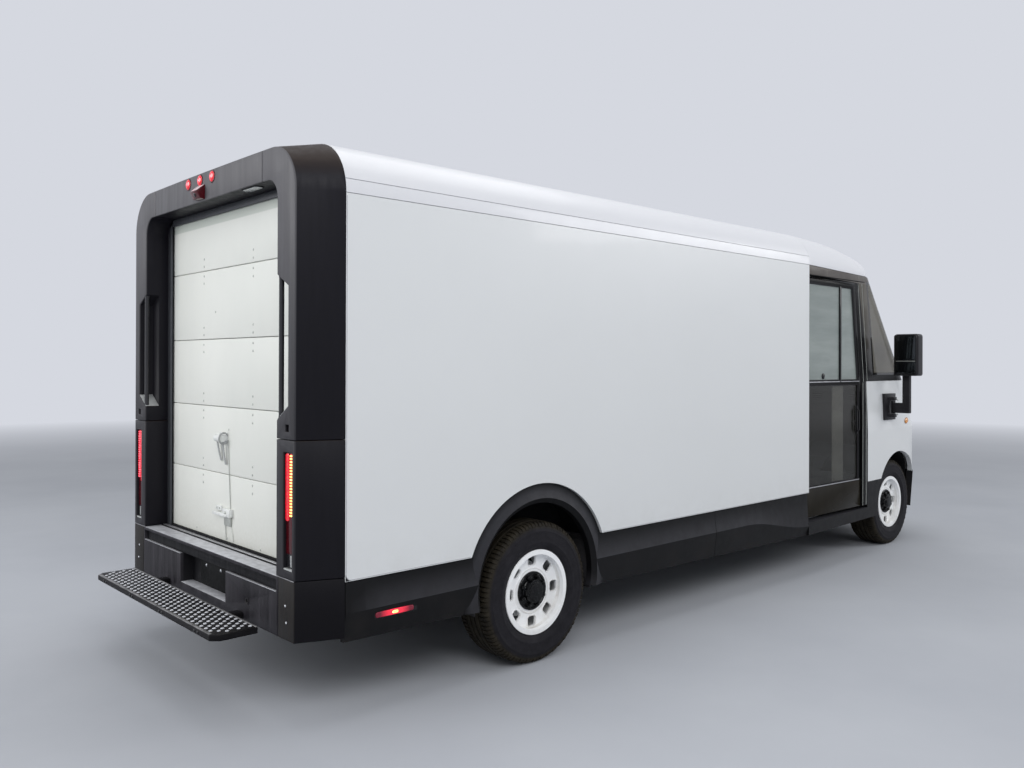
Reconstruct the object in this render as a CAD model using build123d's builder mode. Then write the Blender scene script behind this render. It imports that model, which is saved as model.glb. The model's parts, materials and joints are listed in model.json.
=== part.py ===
from build123d import *
import math
import os

# Electric step-in delivery van with a long wheelbase, in millimetres.
# +X is forward, +Y is the vehicle's left, +Z is up, and the ground is Z = 0.
# The origin lies under the middle of the overall length and width.

# ---------------------------------------------------------------- overall sizes
WHEELBASE = 4661
REAR_OVERHANG = 1740        # rear axle to the outer edge of the rear step
FRONT_OVERHANG = 945        # front axle to the face of the front bumper
WIDTH = 2120                # over the cargo body, without the mirrors
SHOULDER_Z = 2420           # height where the upright sides begin to curve
SHOULDER_RADIUS = 260       # curve from the side into the roof
ROOF_SLOPE = 6              # slope of the roof where it meets the shoulder, degrees
FLOOR_Z = 672               # load floor
FLOOR_THICKNESS = 50
SKIRT_TOP_DROP = 17         # load floor down to the skirts' upper edge
SKIRT_CREASE_Z = 508
SKIRT_BOTTOM = 360          # below the rear axle
SKIRT_BOTTOM_SLOPE = 0.012  # how much it falls for each unit forward

# ---------------------------------------------------------------- clearances
PANEL_GAP = 3               # seam between two fixed panels
MOVING_GAP = 6              # room left around anything that moves
BEARING_GAP = 0.05          # radial room of a shaft in its bore

# ---------------------------------------------------------------- cargo body
OUTER_SKIN = 25
INNER_SKIN = 15
ROOF_THICKNESS = 35
ROOF_LAP = 1                # the roof's sections start this far below the shoulder
RAIL_RISE = 63              # shoulder up to the seam between the cant rail and the roof panel
RAIL_GROOVE = 18            # that seam's depth, from the side panel inward
PORTAL_BACK = 1456          # rear axle back to the portal's rear face
PORTAL_FRONT = 1246         # rear axle back to the seam with the side panels
PORTAL_TAPER = 86           # how far the portal's sides lean in over its depth
PORTAL_REAR_RADIUS = 220    # shoulder radius of the portal's rear face
PORTAL_REAR_SLOPE = 0.5     # its top is nearly flat, degrees
PORTAL_FRAME = 249          # body's side in to the rear opening
PORTAL_OPENING_RISE = 75    # shoulder up to the top of the rear opening
PORTAL_CORNER_RADIUS = 100
PORTAL_SEAM_Z = 1299        # seam between the hoop and the lamp pillars
CORNER_DROP = 272           # load floor down to the rear bumper's lower edge
ROLLER_DOOR_BACK = 1312     # rear axle back to the roller door's outer face
ROLLER_DOOR_THICKNESS = 35
ROLLER_DOOR_SIDE = 39       # opening's edge in to the roller door
ROLLER_DOOR_HEAD = 33       # opening's top down to the roller door
ROLLER_DOOR_SEAMS = (0.2073, 0.4095, 0.6156, 0.8302)    # shares of the door's height

# ---------------------------------------------------------------- cab
CAB_BACK = 1761             # front axle back to the seam between cargo body and cab
FENDER_BACK = 676           # front axle back to the fender's rear edge
FENDER_DROP = 30            # load floor down to the fender's lower edge
BELT_Z = 1503
CAB_PANEL = 40              # thickness of the cab's body panels
GLASS = 8
PILLAR_LEAN = 0.6505        # the windscreen edge moves back this much for each unit of height
PILLAR_FOOT = 154           # front axle forward to the windscreen edge at the belt
NOSE_INSET = 322            # body's side in to the nose panel's edge
NOSE_X = 889                # front axle forward to the nose at its foot
BUMPER_THICKNESS = 60
BUMPER_BOTTOM = 300

# ---------------------------------------------------------------- side doors
DOOR_THICKNESS = 30
DOOR_INSET = 27             # outer skin in to the door's outer face
DOOR_FRONT = 801            # front axle back to the door's front edge
DOOR_FRONT_SLOPE = 110      # how far that edge leans back above the belt
DOOR_HEAD = 85              # shoulder down to the door's top
DOOR_BOTTOM = 445
DOOR_OVERLAP = 20           # part of the closed door that stays in its pocket
DOOR_TRAVEL = 780
DOOR_FRAME = 48
DOOR_MIDRAIL_Z = 1495
DOOR_BACK_STILE = 38        # cab's back forward to the panes
UPPER_PANE_RISE = 25        # midrail up to the upper pane
LOWER_PANE_DROP = 15        # midrail down to the lower pane
LOWER_PANE_BOTTOM = 680
DOOR_GLASS_INSET = 12       # door's inner face out to the glass

# ---------------------------------------------------------------- wheels and axles
TYRE_RADIUS = 387.5
TYRE_WIDTH = 248
RIM_RADIUS = 216
RIM_FLANGE_RADIUS = 232
RIM_WIDTH = 222
REAR_TYRE_INSET = 145       # body's side in to the tyre's middle plane
FRONT_TYRE_INSET = 265
KINGPIN_OFFSET = 95         # tyre's middle plane in to the kingpin
KINGPIN_RADIUS = 15
SPINDLE_RADIUS = 30
AXLE_RADIUS = 45
HUB_RADIUS = 62
REAR_ARCH_ROOM = 152.5      # tyre to the edge of the white side panel round it
REAR_ARCH_RISE = 62.5       # wheel's centre up to the arch's centre
FLARE_WIDTH = 110           # panel's edge in to the flare's mouth
FLARE_CREASE = 83           # panel's edge in to the flare's crease
FRONT_ARCH_ROOM = 82.5
FRONT_ARCH_RISE = 2.5
TUB_THICKNESS = 12
REAR_TUB_ROOM = 51          # tyre in to the rear tub's inner face
FRONT_TUB_ROOM = 231

# ---------------------------------------------------------------- places that follow
length = REAR_OVERHANG + WHEELBASE + FRONT_OVERHANG
half_width = WIDTH / 2
rear_axle_x = -length / 2 + REAR_OVERHANG
front_axle_x = rear_axle_x + WHEELBASE
portal_back_x = rear_axle_x - PORTAL_BACK
portal_front_x = rear_axle_x - PORTAL_FRONT
cab_back_x = front_axle_x - CAB_BACK
cab_start = WHEELBASE - CAB_BACK    # rear axle forward to the cab
door_back_x = rear_axle_x - ROLLER_DOOR_BACK
floor_bottom = FLOOR_Z - FLOOR_THICKNESS
skirt_top = FLOOR_Z - SKIRT_TOP_DROP
fender_bottom = FLOOR_Z - FENDER_DROP
corner_bottom = FLOOR_Z - CORNER_DROP
roof_rail_z = SHOULDER_Z + RAIL_RISE
portal_opening = half_width - PORTAL_FRAME
portal_opening_top = SHOULDER_Z + PORTAL_OPENING_RISE
door_top = SHOULDER_Z - DOOR_HEAD
door_outer_y = half_width - OUTER_SKIN - DOOR_INSET
door_inner_y = door_outer_y - DOOR_THICKNESS
wall_inner_y = door_inner_y - MOVING_GAP - INNER_SKIN
rear_half_track = half_width - REAR_TYRE_INSET
front_half_track = half_width - FRONT_TYRE_INSET
kingpin_y = front_half_track - KINGPIN_OFFSET
rear_arch_radius = TYRE_RADIUS + REAR_ARCH_ROOM
rear_arch_z = TYRE_RADIUS + REAR_ARCH_RISE
flare_opening_radius = rear_arch_radius - FLARE_WIDTH
flare_crease_radius = rear_arch_radius - FLARE_CREASE
front_arch_radius = TYRE_RADIUS + FRONT_ARCH_ROOM
front_arch_z = TYRE_RADIUS + FRONT_ARCH_RISE
rear_tub_y = rear_half_track - TYRE_WIDTH / 2 - REAR_TUB_ROOM
front_tub_y = front_half_track - TYRE_WIDTH / 2 - FRONT_TUB_ROOM


def block(x, y, z, mode=Mode.ADD):
    """Box spanning the ranges x, y and z."""
    with Locations(((x[0] + x[1]) / 2, (y[0] + y[1]) / 2, (z[0] + z[1]) / 2)):
        Box(abs(x[1] - x[0]), abs(y[1] - y[0]), abs(z[1] - z[0]), mode=mode)


def mirrored_blocks(x, y, z, mode=Mode.ADD):
    """The same box on the left and on the right."""
    block(x, y, z, mode)
    block(x, (-y[1], -y[0]), z, mode)


def cross_cylinder(x, z, radius, y, mode=Mode.ADD):
    """Cylinder along Y between the two values of y."""
    with Locations(Location((x, (y[0] + y[1]) / 2, z), (90, 0, 0))):
        Cylinder(radius, abs(y[1] - y[0]), mode=mode)


def side_outline(points):
    """Closed polygon in the XZ plane, from (x, z) corners."""
    with BuildSketch(Plane.XZ) as outline:
        with BuildLine():
            Polyline(*points, close=True)
        make_face()
    return outline.sketch


def cross_outline(x, points):
    """Closed polygon in the plane at x, from (y, z) corners."""
    with BuildSketch(Plane.YZ.offset(x)) as outline:
        with BuildLine():
            Polyline(*points, close=True)
        make_face()
    return outline.sketch


def body_section(x, half, radius, base, roof_slope=ROOF_SLOPE):
    """Hoop-shaped section at x: upright sides, round shoulders and a crowned roof."""
    slope = math.radians(roof_slope)
    centre_y = half - radius
    crown_radius = radius + centre_y / math.sin(slope)
    crown_top = SHOULDER_Z + crown_radius - (crown_radius - radius) * math.cos(slope)
    join = (centre_y + radius * math.sin(slope), SHOULDER_Z + radius * math.cos(slope))
    middle_angle = (math.pi / 2 - slope) / 2
    middle = (
        centre_y + radius * math.cos(middle_angle),
        SHOULDER_Z + radius * math.sin(middle_angle),
    )
    with BuildSketch(Plane.YZ.offset(x)) as section:
        with BuildLine():
            Line((-half, base), (half, base))
            Line((half, base), (half, SHOULDER_Z))
            ThreePointArc((half, SHOULDER_Z), middle, join)
            ThreePointArc(join, (0, crown_top), (-join[0], join[1]))
            ThreePointArc((-join[0], join[1]), (-middle[0], middle[1]), (-half, SHOULDER_Z))
            Line((-half, SHOULDER_Z), (-half, base))
        make_face()
    return section.sketch


def finish_piece(builder, name):
    """Label a finished piece and write it to its own file."""
    builder.part.label = name
    export_step(builder.part, f"parts/{name}.step")


os.makedirs("parts", exist_ok=True)

# ================================================================ cargo body
pocket_back_x = cab_back_x - DOOR_OVERLAP - DOOR_TRAVEL - 2 * MOVING_GAP
pocket_outer_y = half_width - OUTER_SKIN
pocket_inner_y = wall_inner_y + INNER_SKIN

with BuildPart() as side_wall_left:
    block((portal_front_x, cab_back_x), (wall_inner_y, half_width), (skirt_top, SHOULDER_Z - PANEL_GAP))
    block(
        (pocket_back_x, cab_back_x),
        (pocket_inner_y, pocket_outer_y),
        (skirt_top, door_top + MOVING_GAP),
        Mode.SUBTRACT,
    )
    cross_cylinder(
        rear_axle_x, rear_arch_z, rear_arch_radius, (wall_inner_y, half_width), Mode.SUBTRACT
    )
finish_piece(side_wall_left, "side_wall_left")

with BuildPart() as side_wall_right:
    mirror(side_wall_left.part, about=Plane.XZ)
finish_piece(side_wall_right, "side_wall_right")

with BuildPart() as cargo_roof:
    extrude(
        body_section(portal_front_x, half_width, SHOULDER_RADIUS, SHOULDER_Z - ROOF_LAP),
        amount=cab_back_x - portal_front_x,
    )
    extrude(
        body_section(
            portal_front_x,
            half_width - ROOF_THICKNESS,
            SHOULDER_RADIUS - ROOF_THICKNESS,
            SHOULDER_Z - ROOF_LAP,
        ),
        amount=cab_back_x - portal_front_x,
        mode=Mode.SUBTRACT,
    )
    split(bisect_by=Plane.XY.offset(SHOULDER_Z), keep=Keep.TOP)
    mirrored_blocks(
        (portal_front_x, cab_back_x),
        (half_width - RAIL_GROOVE, half_width),
        (roof_rail_z, roof_rail_z + PANEL_GAP),
        Mode.SUBTRACT,
    )
finish_piece(cargo_roof, "cargo_roof")

BULKHEAD_THICKNESS = 40
bulkhead_back_x = cab_back_x - BULKHEAD_THICKNESS

with BuildPart() as cargo_floor:
    block(
        (portal_front_x, bulkhead_back_x - PANEL_GAP),
        (-wall_inner_y + PANEL_GAP, wall_inner_y - PANEL_GAP),
        (floor_bottom, FLOOR_Z),
    )
    block(
        (door_back_x, portal_front_x),
        (-portal_opening + PANEL_GAP, portal_opening - PANEL_GAP),
        (floor_bottom, FLOOR_Z),
    )
    for side in (-1, 1):
        cross_cylinder(
            rear_axle_x,
            rear_arch_z,
            rear_arch_radius,
            (side * (rear_tub_y - PANEL_GAP), side * half_width),
            Mode.SUBTRACT,
        )
finish_piece(cargo_floor, "cargo_floor")

# ---------------------------------------------------------------- bulkhead and its sliding door
BULKHEAD_DOOR_Y = (-640, 0)     # doorway, to the right of the middle
BULKHEAD_DOOR_HEAD = 170        # shoulder down to the doorway's top
BULKHEAD_DOOR_THICKNESS = 28
BULKHEAD_DOOR_LAP = 30          # the door overlaps its frame by this much
bulkhead_door_top = SHOULDER_Z - BULKHEAD_DOOR_HEAD
bulkhead_top = SHOULDER_Z + SHOULDER_RADIUS - ROOF_THICKNESS - PANEL_GAP
bulkhead_half = wall_inner_y - PANEL_GAP

with BuildPart() as bulkhead:
    block(
        (bulkhead_back_x, cab_back_x),
        (-bulkhead_half, bulkhead_half),
        (floor_bottom, SHOULDER_Z - PANEL_GAP),
    )
    block(
        (bulkhead_back_x, cab_back_x),
        (-half_width + SHOULDER_RADIUS, half_width - SHOULDER_RADIUS),
        (SHOULDER_Z - PANEL_GAP, bulkhead_top),
    )
    block((bulkhead_back_x, cab_back_x), BULKHEAD_DOOR_Y, (FLOOR_Z, bulkhead_door_top), Mode.SUBTRACT)
finish_piece(bulkhead, "bulkhead")

with BuildPart() as bulkhead_door:
    block(
        (
            bulkhead_back_x - MOVING_GAP - BULKHEAD_DOOR_THICKNESS,
            bulkhead_back_x - MOVING_GAP,
        ),
        (BULKHEAD_DOOR_Y[0] - BULKHEAD_DOOR_LAP, BULKHEAD_DOOR_Y[1] + BULKHEAD_DOOR_LAP),
        (FLOOR_Z + MOVING_GAP, bulkhead_door_top + BULKHEAD_DOOR_LAP),
    )
finish_piece(bulkhead_door, "bulkhead_door")

# ================================================================ rear portal
HANDLE_RECESS_WIDTH = 103       # opening's edge out to the recess's outer wall
HANDLE_RECESS_DEPTH = 80
HANDLE_RECESS_Z = (1385, 2048)  # at the opening's edge
HANDLE_WALL_Z = (1450, 1992)    # at the outer wall, as the ends slant
GRAB_BAR_RADIUS = 12
GRAB_BAR_OFFSET = 17            # opening's edge out to the bar
GRAB_BAR_DEPTH = 14             # portal's rear face in to the bar
BEAM_SEAM_Y = 660               # upright seams in the hoop's top beam
SEAM_DEPTH = 12
SOCKET_Y = 905                  # blind square socket above each lamp pillar
SOCKET_Z = 1351
SOCKET_SIZE = 33
SOCKET_DEPTH = 30
recess_y = (portal_opening, portal_opening + HANDLE_RECESS_WIDTH)
recess_corners = [
    (recess_y[0], HANDLE_RECESS_Z[0]),
    (recess_y[1], HANDLE_WALL_Z[0]),
    (recess_y[1], HANDLE_WALL_Z[1]),
    (recess_y[0], HANDLE_RECESS_Z[1]),
]

with BuildPart() as portal_form:
    loft(
        [
            body_section(
                portal_back_x,
                half_width - PORTAL_TAPER,
                PORTAL_REAR_RADIUS,
                corner_bottom,
                PORTAL_REAR_SLOPE,
            ),
            body_section(portal_front_x, half_width, SHOULDER_RADIUS, corner_bottom),
        ],
        ruled=True,
    )
    with BuildSketch(Plane.YZ.offset(portal_back_x)):
        with Locations((0, portal_opening_top / 2)):
            RectangleRounded(2 * portal_opening, portal_opening_top, PORTAL_CORNER_RADIUS)
    extrude(amount=PORTAL_BACK - PORTAL_FRONT, mode=Mode.SUBTRACT)

with BuildPart() as rear_portal:
    add(portal_form.part)
    split(bisect_by=Plane.XY.offset(PORTAL_SEAM_Z + PANEL_GAP / 2), keep=Keep.TOP)
    for side in (-1, 1):
        extrude(
            cross_outline(portal_back_x, [(side * y, z) for y, z in recess_corners]),
            amount=HANDLE_RECESS_DEPTH,
            mode=Mode.SUBTRACT,
        )
    mirrored_blocks(
        (portal_back_x, portal_back_x + SEAM_DEPTH),
        (BEAM_SEAM_Y - PANEL_GAP / 2, BEAM_SEAM_Y + PANEL_GAP / 2),
        (portal_opening_top, SHOULDER_Z + SHOULDER_RADIUS),
        Mode.SUBTRACT,
    )
    mirrored_blocks(
        (portal_back_x, portal_back_x + SOCKET_DEPTH),
        (SOCKET_Y - SOCKET_SIZE / 2, SOCKET_Y + SOCKET_SIZE / 2),
        (SOCKET_Z - SOCKET_SIZE / 2, SOCKET_Z + SOCKET_SIZE / 2),
        Mode.SUBTRACT,
    )
finish_piece(rear_portal, "rear_portal")

with BuildPart() as grab_handles:
    for side in (-1, 1):
        bar_y = side * (portal_opening + GRAB_BAR_OFFSET)
        with Locations((portal_back_x + GRAB_BAR_DEPTH, bar_y, sum(HANDLE_RECESS_Z) / 2)):
            Cylinder(GRAB_BAR_RADIUS, HANDLE_RECESS_Z[1] - HANDLE_RECESS_Z[0])
    add(rear_portal.part, mode=Mode.SUBTRACT)
finish_piece(grab_handles, "grab_handles")

# ---------------------------------------------------------------- lamp pillars below the hoop
LAMP_INSET = 20                 # portal's rear edge in to the lamp
LAMP_WIDTH = 82
LAMP_GAP = 1
LAMP_RECESS = 22                # lens face in from the pillar's face
LAMP_RISE = 39                  # load floor up to the lamp
LAMP_TOP = 1243
LAMP_DEPTH = 40
lamp_outer_y = half_width - PORTAL_TAPER - LAMP_INSET
lamp_y = (lamp_outer_y - LAMP_WIDTH, lamp_outer_y)
lamp_z = (FLOOR_Z + LAMP_RISE, LAMP_TOP)

with BuildPart() as rear_pillars:
    add(portal_form.part)
    split(bisect_by=Plane.XY.offset(PORTAL_SEAM_Z - PANEL_GAP / 2), keep=Keep.BOTTOM)
    split(bisect_by=Plane.XY.offset(FLOOR_Z + PANEL_GAP), keep=Keep.TOP)
    mirrored_blocks((portal_back_x, portal_back_x + LAMP_DEPTH), lamp_y, lamp_z, Mode.SUBTRACT)
finish_piece(rear_pillars, "rear_pillars")

with BuildPart() as tail_lamps:
    mirrored_blocks(
        (portal_back_x + LAMP_RECESS, portal_back_x + LAMP_DEPTH),
        (lamp_y[0] + LAMP_GAP, lamp_y[1] - LAMP_GAP),
        (lamp_z[0] + LAMP_GAP, lamp_z[1] - LAMP_GAP),
    )
finish_piece(tail_lamps, "tail_lamps")

# ---------------------------------------------------------------- rear bumper with sill
PLATE_RECESS_HALF = 280
PLATE_RECESS_DROP = (227, 72)   # load floor down to its lower and upper edge
PLATE_RECESS_DEPTH = 70
PLATE_HOLE_RADIUS = 3.5
PLATE_HOLE_SPACING = 178
PLATE_HOLE_DROP = 112
PLATE_HOLE_DEPTH = 40
TOW_HOLE_RADIUS = 9
TOW_HOLE_Y = 520
TOW_HOLE_DEPTH = 60
TOW_HOLE_DROP = 172
SILL_THICKNESS = 17
SILL_SHADOW_DEPTH = 20          # the band below the sill lies this far behind its edge
CORNER_SEAM_OFFSET = 17         # opening's edge out to the corner pieces' seams
plate_recess_z = (FLOOR_Z - PLATE_RECESS_DROP[0], FLOOR_Z - PLATE_RECESS_DROP[1])
plate_hole_z = FLOOR_Z - PLATE_HOLE_DROP
tow_hole_z = FLOOR_Z - TOW_HOLE_DROP

with BuildPart() as rear_bumper:
    add(portal_form.part)
    split(bisect_by=Plane.XY.offset(FLOOR_Z), keep=Keep.BOTTOM)
    block(
        (portal_back_x, door_back_x - PANEL_GAP),
        (-portal_opening, portal_opening),
        (corner_bottom, FLOOR_Z),
    )
    block(
        (portal_back_x, portal_back_x + PLATE_RECESS_DEPTH),
        (-PLATE_RECESS_HALF, PLATE_RECESS_HALF),
        plate_recess_z,
        Mode.SUBTRACT,
    )
    block(
        (portal_back_x, portal_back_x + SILL_SHADOW_DEPTH),
        (-portal_opening, portal_opening),
        (plate_recess_z[1], FLOOR_Z - SILL_THICKNESS),
        Mode.SUBTRACT,
    )
    corner_seam_y = portal_opening + CORNER_SEAM_OFFSET
    mirrored_blocks(
        (portal_back_x, portal_back_x + SEAM_DEPTH),
        (corner_seam_y - PANEL_GAP / 2, corner_seam_y + PANEL_GAP / 2),
        (corner_bottom, FLOOR_Z),
        Mode.SUBTRACT,
    )
    plate_face_x = portal_back_x + PLATE_RECESS_DEPTH
    for side in (-1, 1):
        with Locations(
            Location(
                (plate_face_x + PLATE_HOLE_DEPTH / 2, side * PLATE_HOLE_SPACING / 2, plate_hole_z),
                (0, 90, 0),
            )
        ):
            Cylinder(PLATE_HOLE_RADIUS, PLATE_HOLE_DEPTH, mode=Mode.SUBTRACT)
    with Locations(
        Location((portal_back_x + TOW_HOLE_DEPTH / 2, -TOW_HOLE_Y, tow_hole_z), (0, 90, 0))
    ):
        Cylinder(TOW_HOLE_RADIUS, TOW_HOLE_DEPTH, mode=Mode.SUBTRACT)
finish_piece(rear_bumper, "rear_bumper")

# ---------------------------------------------------------------- rear step
STEP_INSET = 285                # body's side in to the step's end
STEP_DEPTH = 215
STEP_DROP = 222                 # load floor down to the step
STEP_THICKNESS = 33
STEP_CORNER = 35                # its outer corners are cut back by this much
STEP_BRACKET_Y = (420, 480)
STEP_BRACKET_DROP = 10
STEP_BRACKET_DEPTH = 45         # the brackets reach this far below the step's top

step_top = FLOOR_Z - STEP_DROP
step_half_width = half_width - STEP_INSET
step_x = (rear_axle_x - REAR_OVERHANG, rear_axle_x - REAR_OVERHANG + STEP_DEPTH)
with BuildPart() as rear_step:
    block(step_x, (-step_half_width, step_half_width), (step_top - STEP_THICKNESS, step_top))
    outer_corners = rear_step.edges().filter_by(Axis.Z).sort_by(Axis.X)[:2]
    chamfer(outer_corners, STEP_CORNER)
    mirrored_blocks(
        (step_x[0] + STEP_CORNER, portal_back_x),
        STEP_BRACKET_Y,
        (step_top - STEP_BRACKET_DEPTH, step_top - STEP_BRACKET_DROP),
    )
finish_piece(rear_step, "rear_step")

# ---------------------------------------------------------------- roller door
roller_door_half = portal_opening - ROLLER_DOOR_SIDE
with BuildPart() as roller_door:
    roller_door_top = portal_opening_top - ROLLER_DOOR_HEAD
    edges = [FLOOR_Z + share * (roller_door_top - FLOOR_Z) for share in (0, *ROLLER_DOOR_SEAMS, 1)]
    for low, high in zip(edges, edges[1:]):
        block(
            (door_back_x, door_back_x + ROLLER_DOOR_THICKNESS),
            (-roller_door_half, roller_door_half),
            (low + PANEL_GAP, high),
        )
finish_piece(roller_door, "roller_door")

# ================================================================ cab
# Each level is one outline of the cab seen from above: where the side ends, the middle and
# the end of the corner's curve, as (forward of the front axle, in from the body's side), and
# the nose's distance forward of the front axle.
LOW_LEVEL = (BUMPER_BOTTOM, (219, 95), (468, 170), (650, 335), NOSE_X - 8)
SILL_LEVEL = (fender_bottom, (219, 80), (469, 155), (669, 320), NOSE_X)
WAIST_LEVEL = (1070, (219, 80), (469, 155), (669, 320), NOSE_X)
BELT_LEVEL = (BELT_Z, (-41, 92), (187, 128), (369, 300), 579)
pillar_head = PILLAR_FOOT - PILLAR_LEAN * (SHOULDER_Z - BELT_Z)
HEADER_LEVEL = (
    SHOULDER_Z,
    (pillar_head - 118.5, 125),
    (pillar_head + 31.5, 185),
    (pillar_head + 141.5, 320),
    pillar_head + 282.5,
)
CORNER_INSET_SHARE = 0.7        # share of an inset that a corner's middle moves by
FRONT_INSET_SHARE = 0.3         # share of it that the end of a corner's curve moves by


def cab_outline(level, inset=0):
    """Plan of the cab at one level, drawn in by inset on the sides and the nose."""
    z, side_end, corner, front_end, nose = level
    left = [
        (cab_back_x, half_width - inset),
        (front_axle_x + side_end[0], half_width - side_end[1] - inset),
        (
            front_axle_x + corner[0] - CORNER_INSET_SHARE * inset,
            half_width - corner[1] - CORNER_INSET_SHARE * inset,
        ),
        (
            front_axle_x + front_end[0] - inset,
            half_width - front_end[1] - FRONT_INSET_SHARE * inset,
        ),
    ]
    right = [(x, -y) for x, y in left]
    with BuildSketch(Plane.XY.offset(z)) as outline:
        with BuildLine():
            Line(right[0], left[0])
            Line(left[0], left[1])
            ThreePointArc(left[1], left[2], left[3])
            ThreePointArc(left[3], (front_axle_x + nose - inset, 0), right[3])
            ThreePointArc(right[3], right[2], right[1])
            Line(right[1], right[0])
        make_face()
    return outline.sketch


def cab_form(levels, inset=0):
    """Solid between the outlines of the given levels."""
    with BuildPart() as form:
        loft([cab_outline(level, inset) for level in levels], ruled=True)
    return form.part


body_levels = (LOW_LEVEL, SILL_LEVEL, WAIST_LEVEL, BELT_LEVEL, HEADER_LEVEL)
cab_outer = cab_form(body_levels)
cab_inner = cab_form(body_levels, CAB_PANEL)
glass_inner = cab_form((BELT_LEVEL, HEADER_LEVEL), GLASS)

nose_half_width = half_width - NOSE_INSET
fender_back_x = front_axle_x - FENDER_BACK
door_front_x = front_axle_x - DOOR_FRONT
pillar_foot_x = front_axle_x + PILLAR_FOOT
pillar_head_x = front_axle_x + pillar_head
cab_side_top = SHOULDER_Z - PANEL_GAP

# ---------------------------------------------------------------- fenders and nose
HEADLAMP_INSET = 13             # nose panel's edge in to the lamp
HEADLAMP_WIDTH = 225
HEADLAMP_Z = (925, 1005)
headlamp_outer_y = nose_half_width - HEADLAMP_INSET
headlamp_y = (headlamp_outer_y - HEADLAMP_WIDTH, headlamp_outer_y)

with BuildPart() as front_fenders:
    add(cab_outer)
    add(cab_inner, mode=Mode.SUBTRACT)
    block((fender_back_x, front_axle_x + NOSE_X), (-half_width, half_width), (fender_bottom, BELT_Z),
          Mode.INTERSECT)
    block((fender_back_x, front_axle_x + NOSE_X),
          (-nose_half_width - PANEL_GAP, nose_half_width + PANEL_GAP),
          (fender_bottom, BELT_Z), Mode.SUBTRACT)
    cross_cylinder(front_axle_x, front_arch_z, front_arch_radius, (-half_width, half_width),
                   Mode.SUBTRACT)
finish_piece(front_fenders, "front_fenders")

with BuildPart() as nose_panel:
    add(cab_outer)
    add(cab_inner, mode=Mode.SUBTRACT)
    block((front_axle_x, front_axle_x + NOSE_X), (-nose_half_width, nose_half_width),
          (fender_bottom, BELT_Z), Mode.INTERSECT)
    mirrored_blocks((front_axle_x, front_axle_x + NOSE_X), headlamp_y, HEADLAMP_Z, Mode.SUBTRACT)
finish_piece(nose_panel, "nose_panel")

with BuildPart() as headlamps:
    add(cab_outer)
    add(cab_inner, mode=Mode.SUBTRACT)
    block((front_axle_x, front_axle_x + NOSE_X), (-half_width, half_width),
          (HEADLAMP_Z[0] + PANEL_GAP, HEADLAMP_Z[1] - PANEL_GAP), Mode.INTERSECT)
    block((front_axle_x, front_axle_x + NOSE_X),
          (-headlamp_y[0] - PANEL_GAP, headlamp_y[0] + PANEL_GAP), HEADLAMP_Z, Mode.SUBTRACT)
    mirrored_blocks((front_axle_x - CAB_BACK, front_axle_x + NOSE_X),
                    (headlamp_y[1] - PANEL_GAP, half_width), HEADLAMP_Z, Mode.SUBTRACT)
finish_piece(headlamps, "headlamps")

# ---------------------------------------------------------------- front bumper
BUMPER_END = 330                # front axle forward to the end of the bumper's wings
bumper_foot = (BUMPER_BOTTOM, (219, 98), (480, 172), (690, 335), FRONT_OVERHANG - 12)
bumper_edge = (fender_bottom - PANEL_GAP, (219, 78), (478, 148), (705, 320), FRONT_OVERHANG)

with BuildPart() as front_bumper:
    loft([cab_outline(bumper_foot), cab_outline(bumper_edge)], ruled=True)
    loft(
        [cab_outline(bumper_foot, BUMPER_THICKNESS), cab_outline(bumper_edge, BUMPER_THICKNESS)],
        ruled=True,
        mode=Mode.SUBTRACT,
    )
    block((front_axle_x + BUMPER_END, front_axle_x + FRONT_OVERHANG), (-half_width, half_width),
          (BUMPER_BOTTOM, fender_bottom), Mode.INTERSECT)
    cross_cylinder(front_axle_x, front_arch_z, front_arch_radius, (-half_width, half_width),
                   Mode.SUBTRACT)
finish_piece(front_bumper, "front_bumper")

# ---------------------------------------------------------------- door frames and windscreen pillars
QUARTER_GLASS_FOOT = (690, 45)      # pillar's foot back to the glass's two lower corners
QUARTER_GLASS_HEAD = (113, -7)      # pillar's head back to its two upper corners
QUARTER_GLASS_SILL = 55             # above the belt
QUARTER_GLASS_DROP = 47             # below the shoulder
quarter_foot_z = BELT_Z + QUARTER_GLASS_SILL
quarter_head_z = SHOULDER_Z - QUARTER_GLASS_DROP
quarter_glass_corners = [
    (pillar_foot_x - QUARTER_GLASS_FOOT[1], quarter_foot_z),
    (pillar_head_x - QUARTER_GLASS_HEAD[1], quarter_head_z),
    (pillar_head_x - QUARTER_GLASS_HEAD[0], quarter_head_z),
    (pillar_foot_x - QUARTER_GLASS_FOOT[0], quarter_foot_z),
]
door_front_corners = [
    (door_front_x + MOVING_GAP, DOOR_BOTTOM),
    (door_front_x + MOVING_GAP, DOOR_MIDRAIL_Z),
    (door_front_x + MOVING_GAP - DOOR_FRONT_SLOPE, door_top + MOVING_GAP),
]

with BuildPart() as cab_side_left:
    add(cab_outer)
    add(cab_inner, mode=Mode.SUBTRACT)
    extrude(
        side_outline([
            (cab_back_x, door_top + MOVING_GAP),
            (cab_back_x, cab_side_top),
            (pillar_head_x, cab_side_top),
            (pillar_foot_x, BELT_Z + PANEL_GAP),
            (fender_back_x - PANEL_GAP, BELT_Z + PANEL_GAP),
            (fender_back_x - PANEL_GAP, DOOR_BOTTOM),
            *door_front_corners,
        ]),
        amount=-half_width,
        mode=Mode.INTERSECT,
    )
    extrude(side_outline(quarter_glass_corners), amount=-half_width, mode=Mode.SUBTRACT)
finish_piece(cab_side_left, "cab_side_left")

with BuildPart() as cab_side_right:
    mirror(cab_side_left.part, about=Plane.XZ)
finish_piece(cab_side_right, "cab_side_right")

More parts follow.
